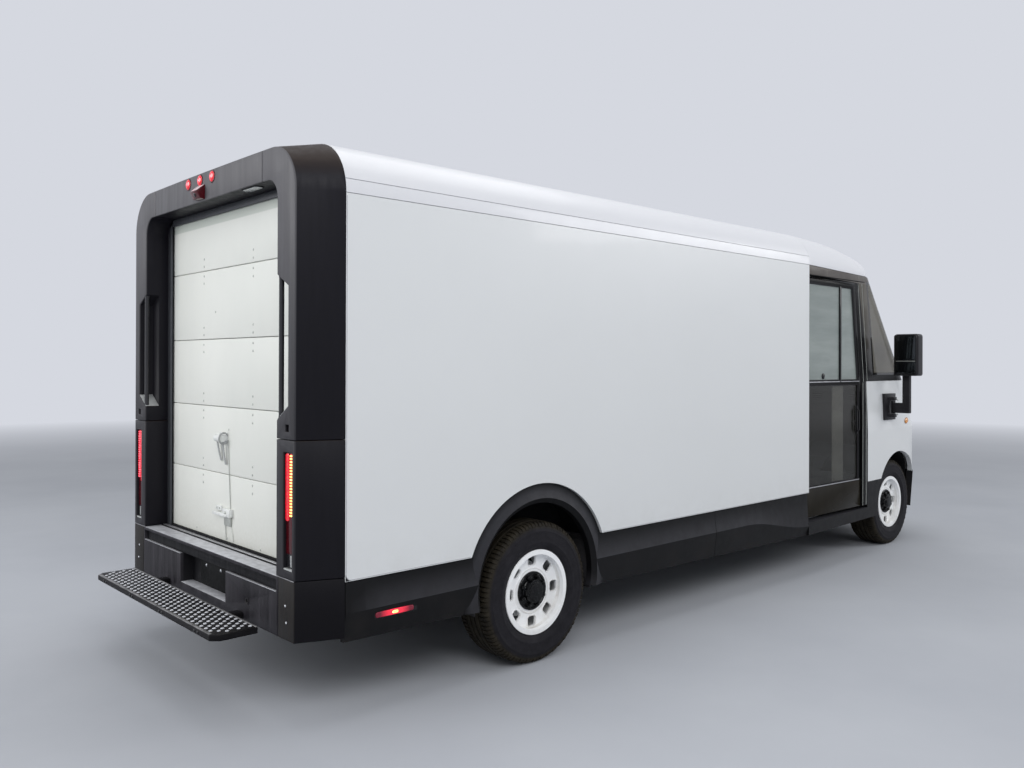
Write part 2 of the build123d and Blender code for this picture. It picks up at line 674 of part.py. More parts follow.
with BuildPart() as quarter_form:
    extrude(side_outline(quarter_glass_corners), amount=half_width, both=True)
with BuildPart() as windscreen_form:
    extrude(
        side_outline([
            (pillar_head_x + PANEL_GAP, cab_side_top),
            (pillar_foot_x + PANEL_GAP, BELT_Z + PANEL_GAP),
            (front_axle_x + NOSE_X, BELT_Z + PANEL_GAP),
            (front_axle_x + NOSE_X, cab_side_top),
        ]),
        amount=half_width,
        both=True,
    )

with BuildPart() as cab_glass:
    add(quarter_form.part)
    add(windscreen_form.part)
    add(cab_outer, mode=Mode.INTERSECT)
    add(glass_inner, mode=Mode.SUBTRACT)
finish_piece(cab_glass, "cab_glass")

# ---------------------------------------------------------------- cab roof
# The roof keeps the cargo body's section at its back and comes down to the header line.
ROOF_RISE = 302                 # crown above the shoulder line
ROOF_FALL_START = -1400         # ahead of the front axle
ROOF_CROWN = 0.14               # share of the rise that lies in the crown
ROOF_CORNER_SHARE = 0.3         # widest shoulder curve as a share of the half width
ROOF_SOLID_STATIONS = 3          # sections at the nose that stay solid
CORNER_BULGE = 36
ROOF_BACK_STATIONS = 8          # sections from the cab's back to the end of its sides
ROOF_NOSE_STATIONS = 9          # sections from there to the nose, closer together as it rounds off
ROOF_NOSE_END = 35              # last section's distance from the nose
header_z, header_side, _, header_front, header_nose = HEADER_LEVEL
header_side_y = half_width - header_side[1]
header_front_y = half_width - header_front[1]


def roof_half_width(ahead):
    """Half width of the header outline at this distance ahead of the front axle."""
    if ahead <= header_side[0]:
        share = (ahead + CAB_BACK) / (header_side[0] + CAB_BACK)
        return half_width + share * (header_side_y - half_width)
    if ahead <= header_front[0]:
        share = (ahead - header_side[0]) / (header_front[0] - header_side[0])
        bulge = 4 * share * (1 - share)
        chord = header_side_y + share * (header_front_y - header_side_y)
        return chord + bulge * CORNER_BULGE
    depth = header_nose - header_front[0]
    front_radius = (header_front_y**2 + depth**2) / (2 * depth)
    return math.sqrt(front_radius**2 - (ahead - header_nose + front_radius) ** 2)


def roof_rise(ahead):
    """Height of the roof's crown above the shoulder line."""
    fall = max(0, ahead - ROOF_FALL_START) / (header_nose - ROOF_FALL_START)
    return ROOF_RISE * math.sqrt(1 - fall**2)


def roof_outline(ahead, inset=0):
    """Section of the cab roof: elliptical shoulders under a shallow crown."""
    half = roof_half_width(ahead) - inset
    rise = roof_rise(ahead) - inset
    radius = min(SHOULDER_RADIUS, ROOF_CORNER_SHARE * half) - inset / 2
    crown = ROOF_CROWN * rise
    join_y = half - radius
    with BuildSketch(Plane.YZ.offset(front_axle_x + ahead)) as section:
        with BuildLine():
            Line((-half, header_z), (half, header_z))
            EllipticalCenterArc(
                (join_y, header_z), radius, rise - crown, start_angle=0, arc_size=90
            )
            ThreePointArc(
                (join_y, header_z + rise - crown),
                (0, header_z + rise),
                (-join_y, header_z + rise - crown),
            )
            EllipticalCenterArc(
                (-join_y, header_z), radius, rise - crown, start_angle=90, arc_size=90
            )
        make_face()
    return section.sketch


def roof_stations():
    """Distances ahead of the front axle of the cab roof's sections, from back to front."""
    back_step = (header_side[0] + CAB_BACK) / (ROOF_BACK_STATIONS - 1)
    back = [-CAB_BACK + step * back_step for step in range(ROOF_BACK_STATIONS)]
    reach = header_nose - ROOF_NOSE_END - header_side[0]
    turn = [step / ROOF_NOSE_STATIONS * math.pi / 2 for step in range(1, ROOF_NOSE_STATIONS + 1)]
    return back + [header_side[0] + reach * math.sin(angle) for angle in turn]


with BuildPart() as cab_roof:
    loft([roof_outline(ahead) for ahead in roof_stations()], ruled=True)
    loft(
        [roof_outline(ahead, ROOF_THICKNESS) for ahead in roof_stations()[:-ROOF_SOLID_STATIONS]],
        ruled=True,
        mode=Mode.SUBTRACT,
    )
    block(
        (cab_back_x, cab_back_x + PANEL_GAP),
        (-half_width, half_width),
        (roof_rail_z, SHOULDER_Z + ROOF_RISE),
        Mode.SUBTRACT,
    )
finish_piece(cab_roof, "cab_roof")

# ================================================================ skirts and running boards
SKIRT_THICKNESS = 25
SKIRT_LEAN = 20                 # the part below the crease leans in by this much
SKIRT_SCOOP = 15                # hollow of the band above the crease
REAR_SCOOP = 2                  # that hollow behind the rear wheel
SCOOP_SAG = 0.76                # share of that hollow left halfway down the band
SCOOP_START = -1215             # ahead of the rear axle
SCOOP_LENGTH = 160
CREASE_DROP = 111               # the crease comes down to the running board
CREASE_DROP_LENGTH = 850        # back from the cab to where it starts to fall
SKIRT_SEAM = 1662               # rear axle forward to the seam between the two skirts
FLARE_LIP = 22                  # the flare's mouth lies inside its crease by this much
FLARE_DEPTH = 60                # body's side in to the flare's inner edge
FLARE_SINK = 1                  # flare's band inside the skirt's
BOARD_TOP = 420
BOARD_WIDTH = 110
LOFT_STEP = 90                  # distance between sections where a skirt changes shape
crease_drop_start = cab_start - CREASE_DROP_LENGTH


def smooth_step(value):
    """Smooth rise from 0 to 1 while the value goes from 0 to 1."""
    value = min(1, max(0, value))
    return value * value * (3 - 2 * value)


def skirt_bottom(ahead):
    """Height of the skirt's lower edge at this distance ahead of the rear axle."""
    return SKIRT_BOTTOM - SKIRT_BOTTOM_SLOPE * ahead


def skirt_section(ahead):
    """Section of the skirt: a hollow band above the crease and an undercut below it."""
    scoop = REAR_SCOOP + (SKIRT_SCOOP - REAR_SCOOP) * smooth_step((ahead - SCOOP_START) / SCOOP_LENGTH)
    drop = CREASE_DROP * smooth_step((ahead - crease_drop_start) / CREASE_DROP_LENGTH)
    top = (half_width - scoop, skirt_top - PANEL_GAP)
    crease = (half_width, SKIRT_CREASE_Z - drop)
    middle = (half_width - SCOOP_SAG * scoop, (top[1] + crease[1]) / 2)
    inner_y = half_width - SKIRT_LEAN - SKIRT_THICKNESS
    bottom = skirt_bottom(ahead)
    with BuildSketch(Plane.YZ.offset(rear_axle_x + ahead)) as section:
        with BuildLine():
            ThreePointArc(top, middle, crease)
            Polyline(
                crease,
                (half_width - SKIRT_LEAN, bottom),
                (inner_y, bottom),
                (inner_y, top[1]),
                top,
            )
        make_face()
    return section.sketch


def stations(start, end):
    """Evenly spaced places from start to end, about one loft step apart."""
    count = max(1, round((end - start) / LOFT_STEP))
    return [start + (end - start) * step / count for step in range(count + 1)]


flare_inner_y = half_width - FLARE_DEPTH
skirt_start = PANEL_GAP - PORTAL_FRONT
scoop_end = SCOOP_START + SCOOP_LENGTH
front_skirt_start = SKIRT_SEAM + PANEL_GAP
foot_outer = cab_form((LOW_LEVEL, SILL_LEVEL))
foot_inner = cab_form((LOW_LEVEL, SILL_LEVEL), CAB_PANEL)
board_inner = cab_form((LOW_LEVEL, SILL_LEVEL), BOARD_WIDTH)
flare_crease_y = half_width - FLARE_SINK
flare_edge_y = flare_crease_y - SKIRT_SCOOP

with BuildPart() as rear_skirt:
    loft(
        [skirt_section(ahead) for ahead in (skirt_start, *stations(SCOOP_START, scoop_end), SKIRT_SEAM)],
        ruled=True,
    )
    cross_cylinder(rear_axle_x, rear_arch_z, flare_crease_radius,
                   (flare_inner_y, half_width), Mode.SUBTRACT)

with BuildPart() as flare:
    with BuildSketch(Plane.XY.offset(rear_arch_z)):
        flare_x = rear_axle_x + rear_arch_radius - PANEL_GAP
        crease_x = rear_axle_x + flare_crease_radius
        mouth_x = rear_axle_x + flare_opening_radius
        with BuildLine():
            ThreePointArc(
                (crease_x, flare_crease_y),
                ((crease_x + flare_x) / 2, flare_crease_y - SCOOP_SAG * SKIRT_SCOOP),
                (flare_x, flare_edge_y),
            )
            Polyline(
                (flare_x, flare_edge_y),
                (flare_x, flare_inner_y),
                (mouth_x, flare_inner_y),
                (mouth_x, half_width - FLARE_LIP),
                (crease_x, flare_crease_y),
            )
        make_face()
    revolve(axis=Axis((rear_axle_x, 0, rear_arch_z), (0, 1, 0)))
    split(
        bisect_by=Plane(
            (rear_axle_x, 0, SKIRT_BOTTOM),
            x_dir=(1, 0, -SKIRT_BOTTOM_SLOPE),
            z_dir=(SKIRT_BOTTOM_SLOPE, 0, 1),
        ),
        keep=Keep.TOP,
    )

with BuildPart() as front_skirt:
    loft([skirt_section(ahead) for ahead in (front_skirt_start, *stations(crease_drop_start, cab_start))],
         ruled=True)

board_bottom = skirt_bottom(cab_start)
with BuildPart() as running_board:
    add(foot_outer)
    add(board_inner, mode=Mode.SUBTRACT)
    block((cab_back_x, fender_back_x), (0, half_width), (board_bottom, BOARD_TOP), Mode.INTERSECT)

with BuildPart() as fender_trim:
    add(foot_outer)
    add(foot_inner, mode=Mode.SUBTRACT)
    block((fender_back_x, front_axle_x), (0, half_width), (board_bottom, fender_bottom - PANEL_GAP),
          Mode.INTERSECT)
    cross_cylinder(front_axle_x, front_arch_z, front_arch_radius, (0, half_width), Mode.SUBTRACT)

with BuildPart() as side_skirt_left:
    add(rear_skirt.part)
    add(flare.part)
    add(front_skirt.part)
    add(running_board.part)
    add(fender_trim.part)
finish_piece(side_skirt_left, "side_skirt_left")

with BuildPart() as side_skirt_right:
    mirror(side_skirt_left.part, about=Plane.XZ)
finish_piece(side_skirt_right, "side_skirt_right")

# ================================================================ wheel tubs
TUB_GAP = 2
rear_tub_outer_y = flare_inner_y - PANEL_GAP
FRONT_TUB_PLATE_RISE = 212.5    # axle's height up to the inner plates; the arms pass below
FRONT_TUB_BOTTOM = 345
front_tub_radius = front_arch_radius + TUB_GAP
front_tub_room = front_tub_radius + TUB_THICKNESS + PANEL_GAP
rear_tub_radius = rear_arch_radius - TUB_GAP

with BuildPart() as rear_tub:
    cross_cylinder(rear_axle_x, rear_arch_z, rear_tub_radius, (rear_tub_y, rear_tub_outer_y))
    cross_cylinder(rear_axle_x, rear_arch_z, rear_tub_radius - TUB_THICKNESS,
                   (rear_tub_y + TUB_THICKNESS, half_width), Mode.SUBTRACT)
    split(bisect_by=Plane.XY.offset(floor_bottom), keep=Keep.TOP)

with BuildPart() as front_tub:
    cross_cylinder(front_axle_x, front_arch_z, front_tub_radius + TUB_THICKNESS,
                   (front_tub_y, half_width))
    cross_cylinder(front_axle_x, front_arch_z, front_tub_radius,
                   (front_tub_y + TUB_THICKNESS, half_width), Mode.SUBTRACT)
    block((front_axle_x - CAB_BACK, front_axle_x + NOSE_X),
          (front_tub_y, front_tub_y + TUB_THICKNESS), (0, TYRE_RADIUS + FRONT_TUB_PLATE_RISE), Mode.SUBTRACT)
    split(bisect_by=Plane.XY.offset(FRONT_TUB_BOTTOM), keep=Keep.TOP)
    add(cab_form(body_levels, BUMPER_THICKNESS + PANEL_GAP), mode=Mode.INTERSECT)

for tub, name in ((rear_tub, "rear_wheel_tubs"), (front_tub, "front_wheel_tubs")):
    with BuildPart() as wheel_tubs:
        add(tub.part)
        mirror(tub.part, about=Plane.XZ)
    finish_piece(wheel_tubs, name)

# ================================================================ chassis, battery and axles
RAIL_Y = (560, 640)
RAIL_Z = (480, floor_bottom)
RAIL_END_GAP = 10
AXLE_ROOM = 30                  # between the rear axle's tube and the rails above it
FRONT_RAIL_Y = (300, 380)
FRONT_RAIL_START = 860          # front axle back to where the narrow rails begin
FRONT_RAIL_END = 800            # front axle forward to their ends
CROSS_MEMBER = 80
AXLE_CROSS_MEMBER = 420         # rear axle to the cross members before and behind it
NOSE_CROSS_MEMBER = 520         # front axle forward to the last cross member
JACKING_PAD_X = (760, 850)      # ahead of the rear axle
JACKING_PAD_DROP = 25
BATTERY_X = (520, 3040)         # ahead of the rear axle
BATTERY_HALF_WIDTH = 545
BATTERY_BOTTOM = 255
BATTERY_GAP = 22                # below the floor

front_rail_x = front_axle_x - FRONT_RAIL_START
rail_start_x = portal_front_x + RAIL_END_GAP
wide_cross_members = (
    rail_start_x,
    rear_axle_x - AXLE_CROSS_MEMBER,
    rear_axle_x + AXLE_CROSS_MEMBER,
    front_rail_x - CROSS_MEMBER,
)
nose_member_x = front_axle_x + NOSE_CROSS_MEMBER
with BuildPart() as chassis_frame:
    mirrored_blocks((rail_start_x, front_rail_x), RAIL_Y, RAIL_Z)
    mirrored_blocks((front_rail_x - CROSS_MEMBER, front_axle_x + FRONT_RAIL_END), FRONT_RAIL_Y, RAIL_Z)
    for cross_x in wide_cross_members:
        block((cross_x, cross_x + CROSS_MEMBER), (-RAIL_Y[1], RAIL_Y[1]), RAIL_Z)
    block((nose_member_x, nose_member_x + CROSS_MEMBER), (-FRONT_RAIL_Y[1], FRONT_RAIL_Y[1]), RAIL_Z)
    mirrored_blocks(
        (rear_axle_x + JACKING_PAD_X[0], rear_axle_x + JACKING_PAD_X[1]),
        RAIL_Y,
        (RAIL_Z[0] - JACKING_PAD_DROP, RAIL_Z[0]),
    )
    cross_cylinder(rear_axle_x, TYRE_RADIUS, AXLE_RADIUS + AXLE_ROOM, (-RAIL_Y[1], RAIL_Y[1]),
                   Mode.SUBTRACT)
finish_piece(chassis_frame, "chassis_frame")

with BuildPart() as battery_pack:
    block((rear_axle_x + BATTERY_X[0], rear_axle_x + BATTERY_X[1]),
          (-BATTERY_HALF_WIDTH, BATTERY_HALF_WIDTH), (BATTERY_BOTTOM, floor_bottom - BATTERY_GAP))
finish_piece(battery_pack, "battery_pack")

# ---------------------------------------------------------------- rear axle with leaf springs
AXLE_TUBE_INSET = 260           # body's side in to the end of the axle's tube
REAR_SPINDLE_REACH = 60         # beyond the tube
DRIVE_UNIT_X = (-60, 240)       # ahead of the rear axle
DRIVE_UNIT_HALF_WIDTH = 230
DRIVE_UNIT_Z = (-132.5, 82.5)   # from the axle's height
SPRING_Y = (600, 670)
SPRING_HALF_LENGTH = 640
SPRING_EYE = 40                 # length of the flat at each end
SPRING_GAP = 5                  # below the rail
SPRING_THICKNESS = 30
SPRING_DROP = 44.5              # axle's height down to the spring's lowest point

rear_tube_end_y = half_width - AXLE_TUBE_INSET
rear_spindle_end_y = rear_tube_end_y + REAR_SPINDLE_REACH
spring_top_z = RAIL_Z[0] - SPRING_GAP
spring_inner = SPRING_HALF_LENGTH - SPRING_EYE
spring_low_z = TYRE_RADIUS - SPRING_DROP
with BuildPart() as rear_axle:
    cross_cylinder(rear_axle_x, TYRE_RADIUS, AXLE_RADIUS, (-rear_tube_end_y, rear_tube_end_y))
    cross_cylinder(rear_axle_x, TYRE_RADIUS, SPINDLE_RADIUS, (-rear_spindle_end_y, rear_spindle_end_y))
    block(
        (rear_axle_x + DRIVE_UNIT_X[0], rear_axle_x + DRIVE_UNIT_X[1]),
        (-DRIVE_UNIT_HALF_WIDTH, DRIVE_UNIT_HALF_WIDTH),
        (TYRE_RADIUS + DRIVE_UNIT_Z[0], TYRE_RADIUS + DRIVE_UNIT_Z[1]),
    )
    for side in (-1, 1):
        with BuildSketch(Plane.XZ.offset(-side * SPRING_Y[0])):
            with BuildLine():
                ThreePointArc(
                    (rear_axle_x - SPRING_HALF_LENGTH, spring_top_z),
                    (rear_axle_x, spring_low_z),
                    (rear_axle_x + SPRING_HALF_LENGTH, spring_top_z),
                )
                Line(
                    (rear_axle_x + SPRING_HALF_LENGTH, spring_top_z),
                    (rear_axle_x + spring_inner, spring_top_z),
                )
                ThreePointArc(
                    (rear_axle_x + spring_inner, spring_top_z),
                    (rear_axle_x, spring_low_z + SPRING_THICKNESS),
                    (rear_axle_x - spring_inner, spring_top_z),
                )
                Line(
                    (rear_axle_x - spring_inner, spring_top_z),
                    (rear_axle_x - SPRING_HALF_LENGTH, spring_top_z),
                )
            make_face()
        extrude(amount=-side * (SPRING_Y[1] - SPRING_Y[0]))
finish_piece(rear_axle, "rear_axle")

# ---------------------------------------------------------------- front suspension
KNUCKLE_HALF_HEIGHT = 119.5
ARM_THICKNESS = 28
ARM_GAP = 5
ARM_ROOT = (380, 160)           # y of the arm's root, and its half width there
ARM_WAIST = (-100, 52)          # the same from the kingpin
ARM_TIP = (22, 22)
SUBFRAME_Y = (250, 385)
SUBFRAME_HALF_LENGTH = 190
SUBFRAME_BEAM = (120, 330)      # half length and top of the beam across the middle
TOWER_OUTER_Y = 400
BALL_JOINT_HEIGHT = 70
BALL_JOINT_REACH = 40           # how far the upper pin reaches down into the knuckle

knuckle_room = floor_bottom - ARM_GAP - ARM_THICKNESS - ARM_GAP - TYRE_RADIUS
knuckle_half = min(KNUCKLE_HALF_HEIGHT, knuckle_room)
knuckle_z = (TYRE_RADIUS - knuckle_half, TYRE_RADIUS + knuckle_half)
arm_heights = (knuckle_z[0] - ARM_GAP - ARM_THICKNESS, knuckle_z[1] + ARM_GAP)
arm_half_outline = (
    ARM_ROOT,
    (kingpin_y + ARM_WAIST[0], ARM_WAIST[1]),
    (kingpin_y + ARM_TIP[0], ARM_TIP[1]),
)
subframe_x = (front_axle_x - SUBFRAME_HALF_LENGTH, front_axle_x + SUBFRAME_HALF_LENGTH)

with BuildPart() as front_suspension:
    mirrored_blocks(subframe_x, SUBFRAME_Y, (arm_heights[0], RAIL_Z[0]))
    mirrored_blocks(subframe_x, (FRONT_RAIL_Y[1], TOWER_OUTER_Y),
                    (RAIL_Z[0], arm_heights[1] + ARM_THICKNESS))
    block((front_axle_x - SUBFRAME_BEAM[0], front_axle_x + SUBFRAME_BEAM[0]),
          (-SUBFRAME_Y[0], SUBFRAME_Y[0]), (arm_heights[0], SUBFRAME_BEAM[1]))
    for side in (-1, 1):
        arm = [(front_axle_x - half, side * y) for y, half in arm_half_outline]
        arm += [(front_axle_x + half, side * y) for y, half in reversed(arm_half_outline)]
        for height in arm_heights:
            with BuildSketch(Plane.XY.offset(height)):
                with BuildLine():
                    Polyline(*arm, close=True)
                make_face()
            extrude(amount=ARM_THICKNESS)
        for low in (arm_heights[0], knuckle_z[1] - BALL_JOINT_REACH):
            with Locations((front_axle_x, side * kingpin_y, low + BALL_JOINT_HEIGHT / 2)):
                Cylinder(KINGPIN_RADIUS, BALL_JOINT_HEIGHT)
finish_piece(front_suspension, "front_suspension")

KNUCKLE_FRONT = 25              # kingpin out to the knuckle's outer face
SPINDLE_REACH = 30              # tyre's middle plane out to the spindle's end
KNUCKLE_HALF_LENGTH = 45
KNUCKLE_BACK = 30               # kingpin in to the knuckle's inner face
CALIPER_ARM_X = (45, 125)       # ahead of the wheel's axis
CALIPER_X = (100, 178)
CALIPER_Y = (5, 85)             # outward from the kingpin
CALIPER_HALF_HEIGHT = 50
CALIPER_SLOT_X = (100, 168)
CALIPER_SLOT_Y = (33, 69)
knuckle_outer_y = kingpin_y + KNUCKLE_FRONT
front_spindle_end = front_half_track + SPINDLE_REACH


def shifted(start, offsets):
    """Range between two offsets from start."""
    return (start + offsets[0], start + offsets[1])


caliper_y = shifted(kingpin_y, CALIPER_Y)
caliper_z = (TYRE_RADIUS - CALIPER_HALF_HEIGHT, TYRE_RADIUS + CALIPER_HALF_HEIGHT)
with BuildPart() as knuckle_left:
    block(shifted(front_axle_x, (-KNUCKLE_HALF_LENGTH, KNUCKLE_HALF_LENGTH)),
          (kingpin_y - KNUCKLE_BACK, knuckle_outer_y), knuckle_z)
    cross_cylinder(front_axle_x, TYRE_RADIUS, SPINDLE_RADIUS, (kingpin_y, front_spindle_end))
    block(shifted(front_axle_x, CALIPER_ARM_X), (caliper_y[0], knuckle_outer_y), caliper_z)
    block(shifted(front_axle_x, CALIPER_X), caliper_y, caliper_z)
    block(shifted(front_axle_x, CALIPER_SLOT_X), shifted(kingpin_y, CALIPER_SLOT_Y), caliper_z,
          Mode.SUBTRACT)
    with Locations((front_axle_x, kingpin_y, sum(knuckle_z) / 2)):
        Cylinder(KINGPIN_RADIUS + BEARING_GAP, knuckle_z[1] - knuckle_z[0], mode=Mode.SUBTRACT)
finish_piece(knuckle_left, "knuckle_left")

with BuildPart() as knuckle_right:
    mirror(knuckle_left.part, about=Plane.XZ)
finish_piece(knuckle_right, "knuckle_right")

# ================================================================ wheels and tyres
BEAD_HALF_WIDTH = 98
SIDEWALL_DROP = 82.5            # tread down to where the sidewall is widest
SHOULDER_DROP = 45.5
TREAD_INSET = 24                # sidewall in to the tread's edge
DISC_OFFSET = (52, 66)          # wheel disc, outward from the tyre's middle plane
BRAKE_DISC_OFFSET = (-56, -32)
BRAKE_DISC_RADIUS = 160
WINDOW_COUNT = 8
WINDOW_CENTRE_RADIUS = 168
WINDOW_SIZE = (54, 58)          # radially and round the wheel
WINDOW_CORNER = 14
HUB_OUTER_OFFSET = 100
RIM_THICKNESS = 12
DISC_RIM_LAP = 4                # the disc reaches into the rim by this much
SPINDLE_END_ROOM = 3
TYRE_BEAD_GAP = 1
TYRE_FLANGE_GAP = 3
TYRE_SHOULDER_INSET = 6         # sidewall's widest part in to the shoulder
TYRE_CROWN_DROP = 3             # tread's middle down to its edge


def tyre_at(x, y):
    """Tyre with its middle plane at y, revolved from half of its section."""
    section = (
        (BEAD_HALF_WIDTH, RIM_RADIUS + TYRE_BEAD_GAP),
        (TYRE_WIDTH / 2, TYRE_RADIUS - SIDEWALL_DROP),
        (TYRE_WIDTH / 2 - TYRE_SHOULDER_INSET, TYRE_RADIUS - SHOULDER_DROP),
    )
    flange_clear = RIM_FLANGE_RADIUS + TYRE_FLANGE_GAP
    crown_edge = (TYRE_WIDTH / 2 - TREAD_INSET, TYRE_RADIUS - TYRE_CROWN_DROP)
    with BuildPart() as tyre:
        with BuildSketch(Plane.XY.offset(TYRE_RADIUS)):
            with BuildLine():
                bead = [(x + section[0][1], y + side * section[0][0]) for side in (-1, 1)]
                Polyline(
                    (x + flange_clear, bead[0][1]), bead[0], bead[1], (x + flange_clear, bead[1][1])
                )
                for side in (-1, 1):
                    Spline(
                        (x + flange_clear, y + side * section[0][0]),
                        (x + section[1][1], y + side * section[1][0]),
                        (x + section[2][1], y + side * section[2][0]),
                        (x + crown_edge[1], y + side * crown_edge[0]),
                    )
                ThreePointArc(
                    (x + crown_edge[1], y - crown_edge[0]),
                    (x + TYRE_RADIUS, y),
                    (x + crown_edge[1], y + crown_edge[0]),
                )
            make_face()
        revolve(axis=Axis((x, 0, TYRE_RADIUS), (0, 1, 0)))
    return tyre


def wheel_at(x, y, spindle_end_y):
    """Steel wheel with its hub and brake disc, its middle plane at y on the left side."""
    lip = RIM_WIDTH / 2
    with BuildPart() as wheel:
        with BuildSketch(Plane.XY.offset(TYRE_RADIUS)):
            with BuildLine():
                Polyline(
                    (x + RIM_RADIUS, y - lip + RIM_THICKNESS),
                    (x + RIM_RADIUS, y + lip - RIM_THICKNESS),
                    (x + RIM_FLANGE_RADIUS, y + lip - RIM_THICKNESS),
                    (x + RIM_FLANGE_RADIUS, y + lip),
                    (x + RIM_RADIUS - RIM_THICKNESS, y + lip),
                    (x + RIM_RADIUS - RIM_THICKNESS, y - lip),
                    (x + RIM_FLANGE_RADIUS, y - lip),
                    (x + RIM_FLANGE_RADIUS, y - lip + RIM_THICKNESS),
                    close=True,
                )
            make_face()
        revolve(axis=Axis((x, 0, TYRE_RADIUS), (0, 1, 0)))
        cross_cylinder(x, TYRE_RADIUS, RIM_RADIUS - RIM_THICKNESS + DISC_RIM_LAP,
                       (y + DISC_OFFSET[0], y + DISC_OFFSET[1]))
        cross_cylinder(x, TYRE_RADIUS, HUB_RADIUS, (y + BRAKE_DISC_OFFSET[0], y + HUB_OUTER_OFFSET))
        cross_cylinder(x, TYRE_RADIUS, BRAKE_DISC_RADIUS,
                       (y + BRAKE_DISC_OFFSET[0], y + BRAKE_DISC_OFFSET[1]))
        with BuildSketch(Plane((x, y + DISC_OFFSET[0], TYRE_RADIUS), x_dir=(1, 0, 0), z_dir=(0, 1, 0))):
            with PolarLocations(WINDOW_CENTRE_RADIUS, WINDOW_COUNT):
                RectangleRounded(*WINDOW_SIZE, WINDOW_CORNER)
        extrude(amount=DISC_OFFSET[1] - DISC_OFFSET[0], mode=Mode.SUBTRACT)
        cross_cylinder(x, TYRE_RADIUS, SPINDLE_RADIUS + BEARING_GAP,
                       (y + BRAKE_DISC_OFFSET[0], spindle_end_y + SPINDLE_END_ROOM), Mode.SUBTRACT)
    return wheel


wheel_places = {
    "front": (front_axle_x, front_half_track, front_spindle_end),
    "rear": (rear_axle_x, rear_half_track, rear_spindle_end_y),
}
for end, (wheel_x, wheel_y, spindle_end_y) in wheel_places.items():
    left_tyre = tyre_at(wheel_x, wheel_y)
    finish_piece(left_tyre, f"{end}_tyre_left")
    left_wheel = wheel_at(wheel_x, wheel_y, spindle_end_y)
    finish_piece(left_wheel, f"{end}_wheel_left")
    with BuildPart() as right_tyre:
        mirror(left_tyre.part, about=Plane.XZ)
    finish_piece(right_tyre, f"{end}_tyre_right")
    with BuildPart() as right_wheel:
        mirror(left_wheel.part, about=Plane.XZ)
    finish_piece(right_wheel, f"{end}_wheel_right")

# ================================================================ side doors
door_back_edge_x = cab_back_x - DOOR_OVERLAP
slope_per_mm = DOOR_FRONT_SLOPE / (door_top + MOVING_GAP - DOOR_MIDRAIL_Z)


def door_front_at(z):
    """X of the door's front edge at height z."""
    return door_front_x - max(0, z - DOOR_MIDRAIL_Z) * slope_per_mm


pane_back_x = cab_back_x + DOOR_BACK_STILE
upper_pane_z = (DOOR_MIDRAIL_Z + UPPER_PANE_RISE, door_top - DOOR_FRAME)
lower_pane_z = (LOWER_PANE_BOTTOM, DOOR_MIDRAIL_Z - LOWER_PANE_DROP)
upper_pane = [
    (pane_back_x, upper_pane_z[0]),
    (door_front_at(upper_pane_z[0]) - DOOR_FRAME, upper_pane_z[0]),
    (door_front_at(upper_pane_z[1]) - DOOR_FRAME, upper_pane_z[1]),
    (pane_back_x, upper_pane_z[1]),
]
lower_pane = [
    (pane_back_x, lower_pane_z[0]),
    (door_front_x - DOOR_FRAME, lower_pane_z[0]),
    (door_front_x - DOOR_FRAME, lower_pane_z[1]),
    (pane_back_x, lower_pane_z[1]),
]
door_plane = Plane.XZ.offset(-door_inner_y)

with BuildPart() as side_door_left:
    with BuildSketch(door_plane):
        with BuildLine():
            Polyline(
                (door_back_edge_x, DOOR_BOTTOM),
                (door_front_x, DOOR_BOTTOM),
                (door_front_x, DOOR_MIDRAIL_Z),
                (door_front_at(door_top), door_top),
                (door_back_edge_x, door_top),
                close=True,
            )
        make_face()
        for pane in (upper_pane, lower_pane):
            with BuildLine():
                Polyline(*pane, close=True)
            make_face(mode=Mode.SUBTRACT)
    extrude(amount=-DOOR_THICKNESS)
finish_piece(side_door_left, "side_door_left")

with BuildPart() as side_door_right:
    mirror(side_door_left.part, about=Plane.XZ)
finish_piece(side_door_right, "side_door_right")

with BuildPart() as door_glass_left:
    with BuildSketch(Plane.XZ.offset(-door_inner_y - DOOR_GLASS_INSET)):
        for pane in (upper_pane, lower_pane):
            with BuildLine():
                Polyline(*pane, close=True)
            make_face()
    extrude(amount=-GLASS)
finish_piece(door_glass_left, "door_glass_left")

with BuildPart() as door_glass_right:
    mirror(door_glass_left.part, about=Plane.XZ)
finish_piece(door_glass_right, "door_glass_right")

# ================================================================ cab interior
CAB_FLOOR_FRONT = 700           # front axle forward to the firewall
STEP_WELL_INSET = 370           # body's side in to the well's inner wall
CAB_FLOOR_INSET = 160
STEP_WELL_X = (60, 850)         # ahead of the cab's back
STEP_WELL_Z = 440
WELL_WALL = 12
FIREWALL_HALF_WIDTH = 430
DASH_BOTTOM = 905
FIREWALL_THICKNESS = 20
cab_floor_half = half_width - CAB_FLOOR_INSET
well_inner_y = half_width - STEP_WELL_INSET

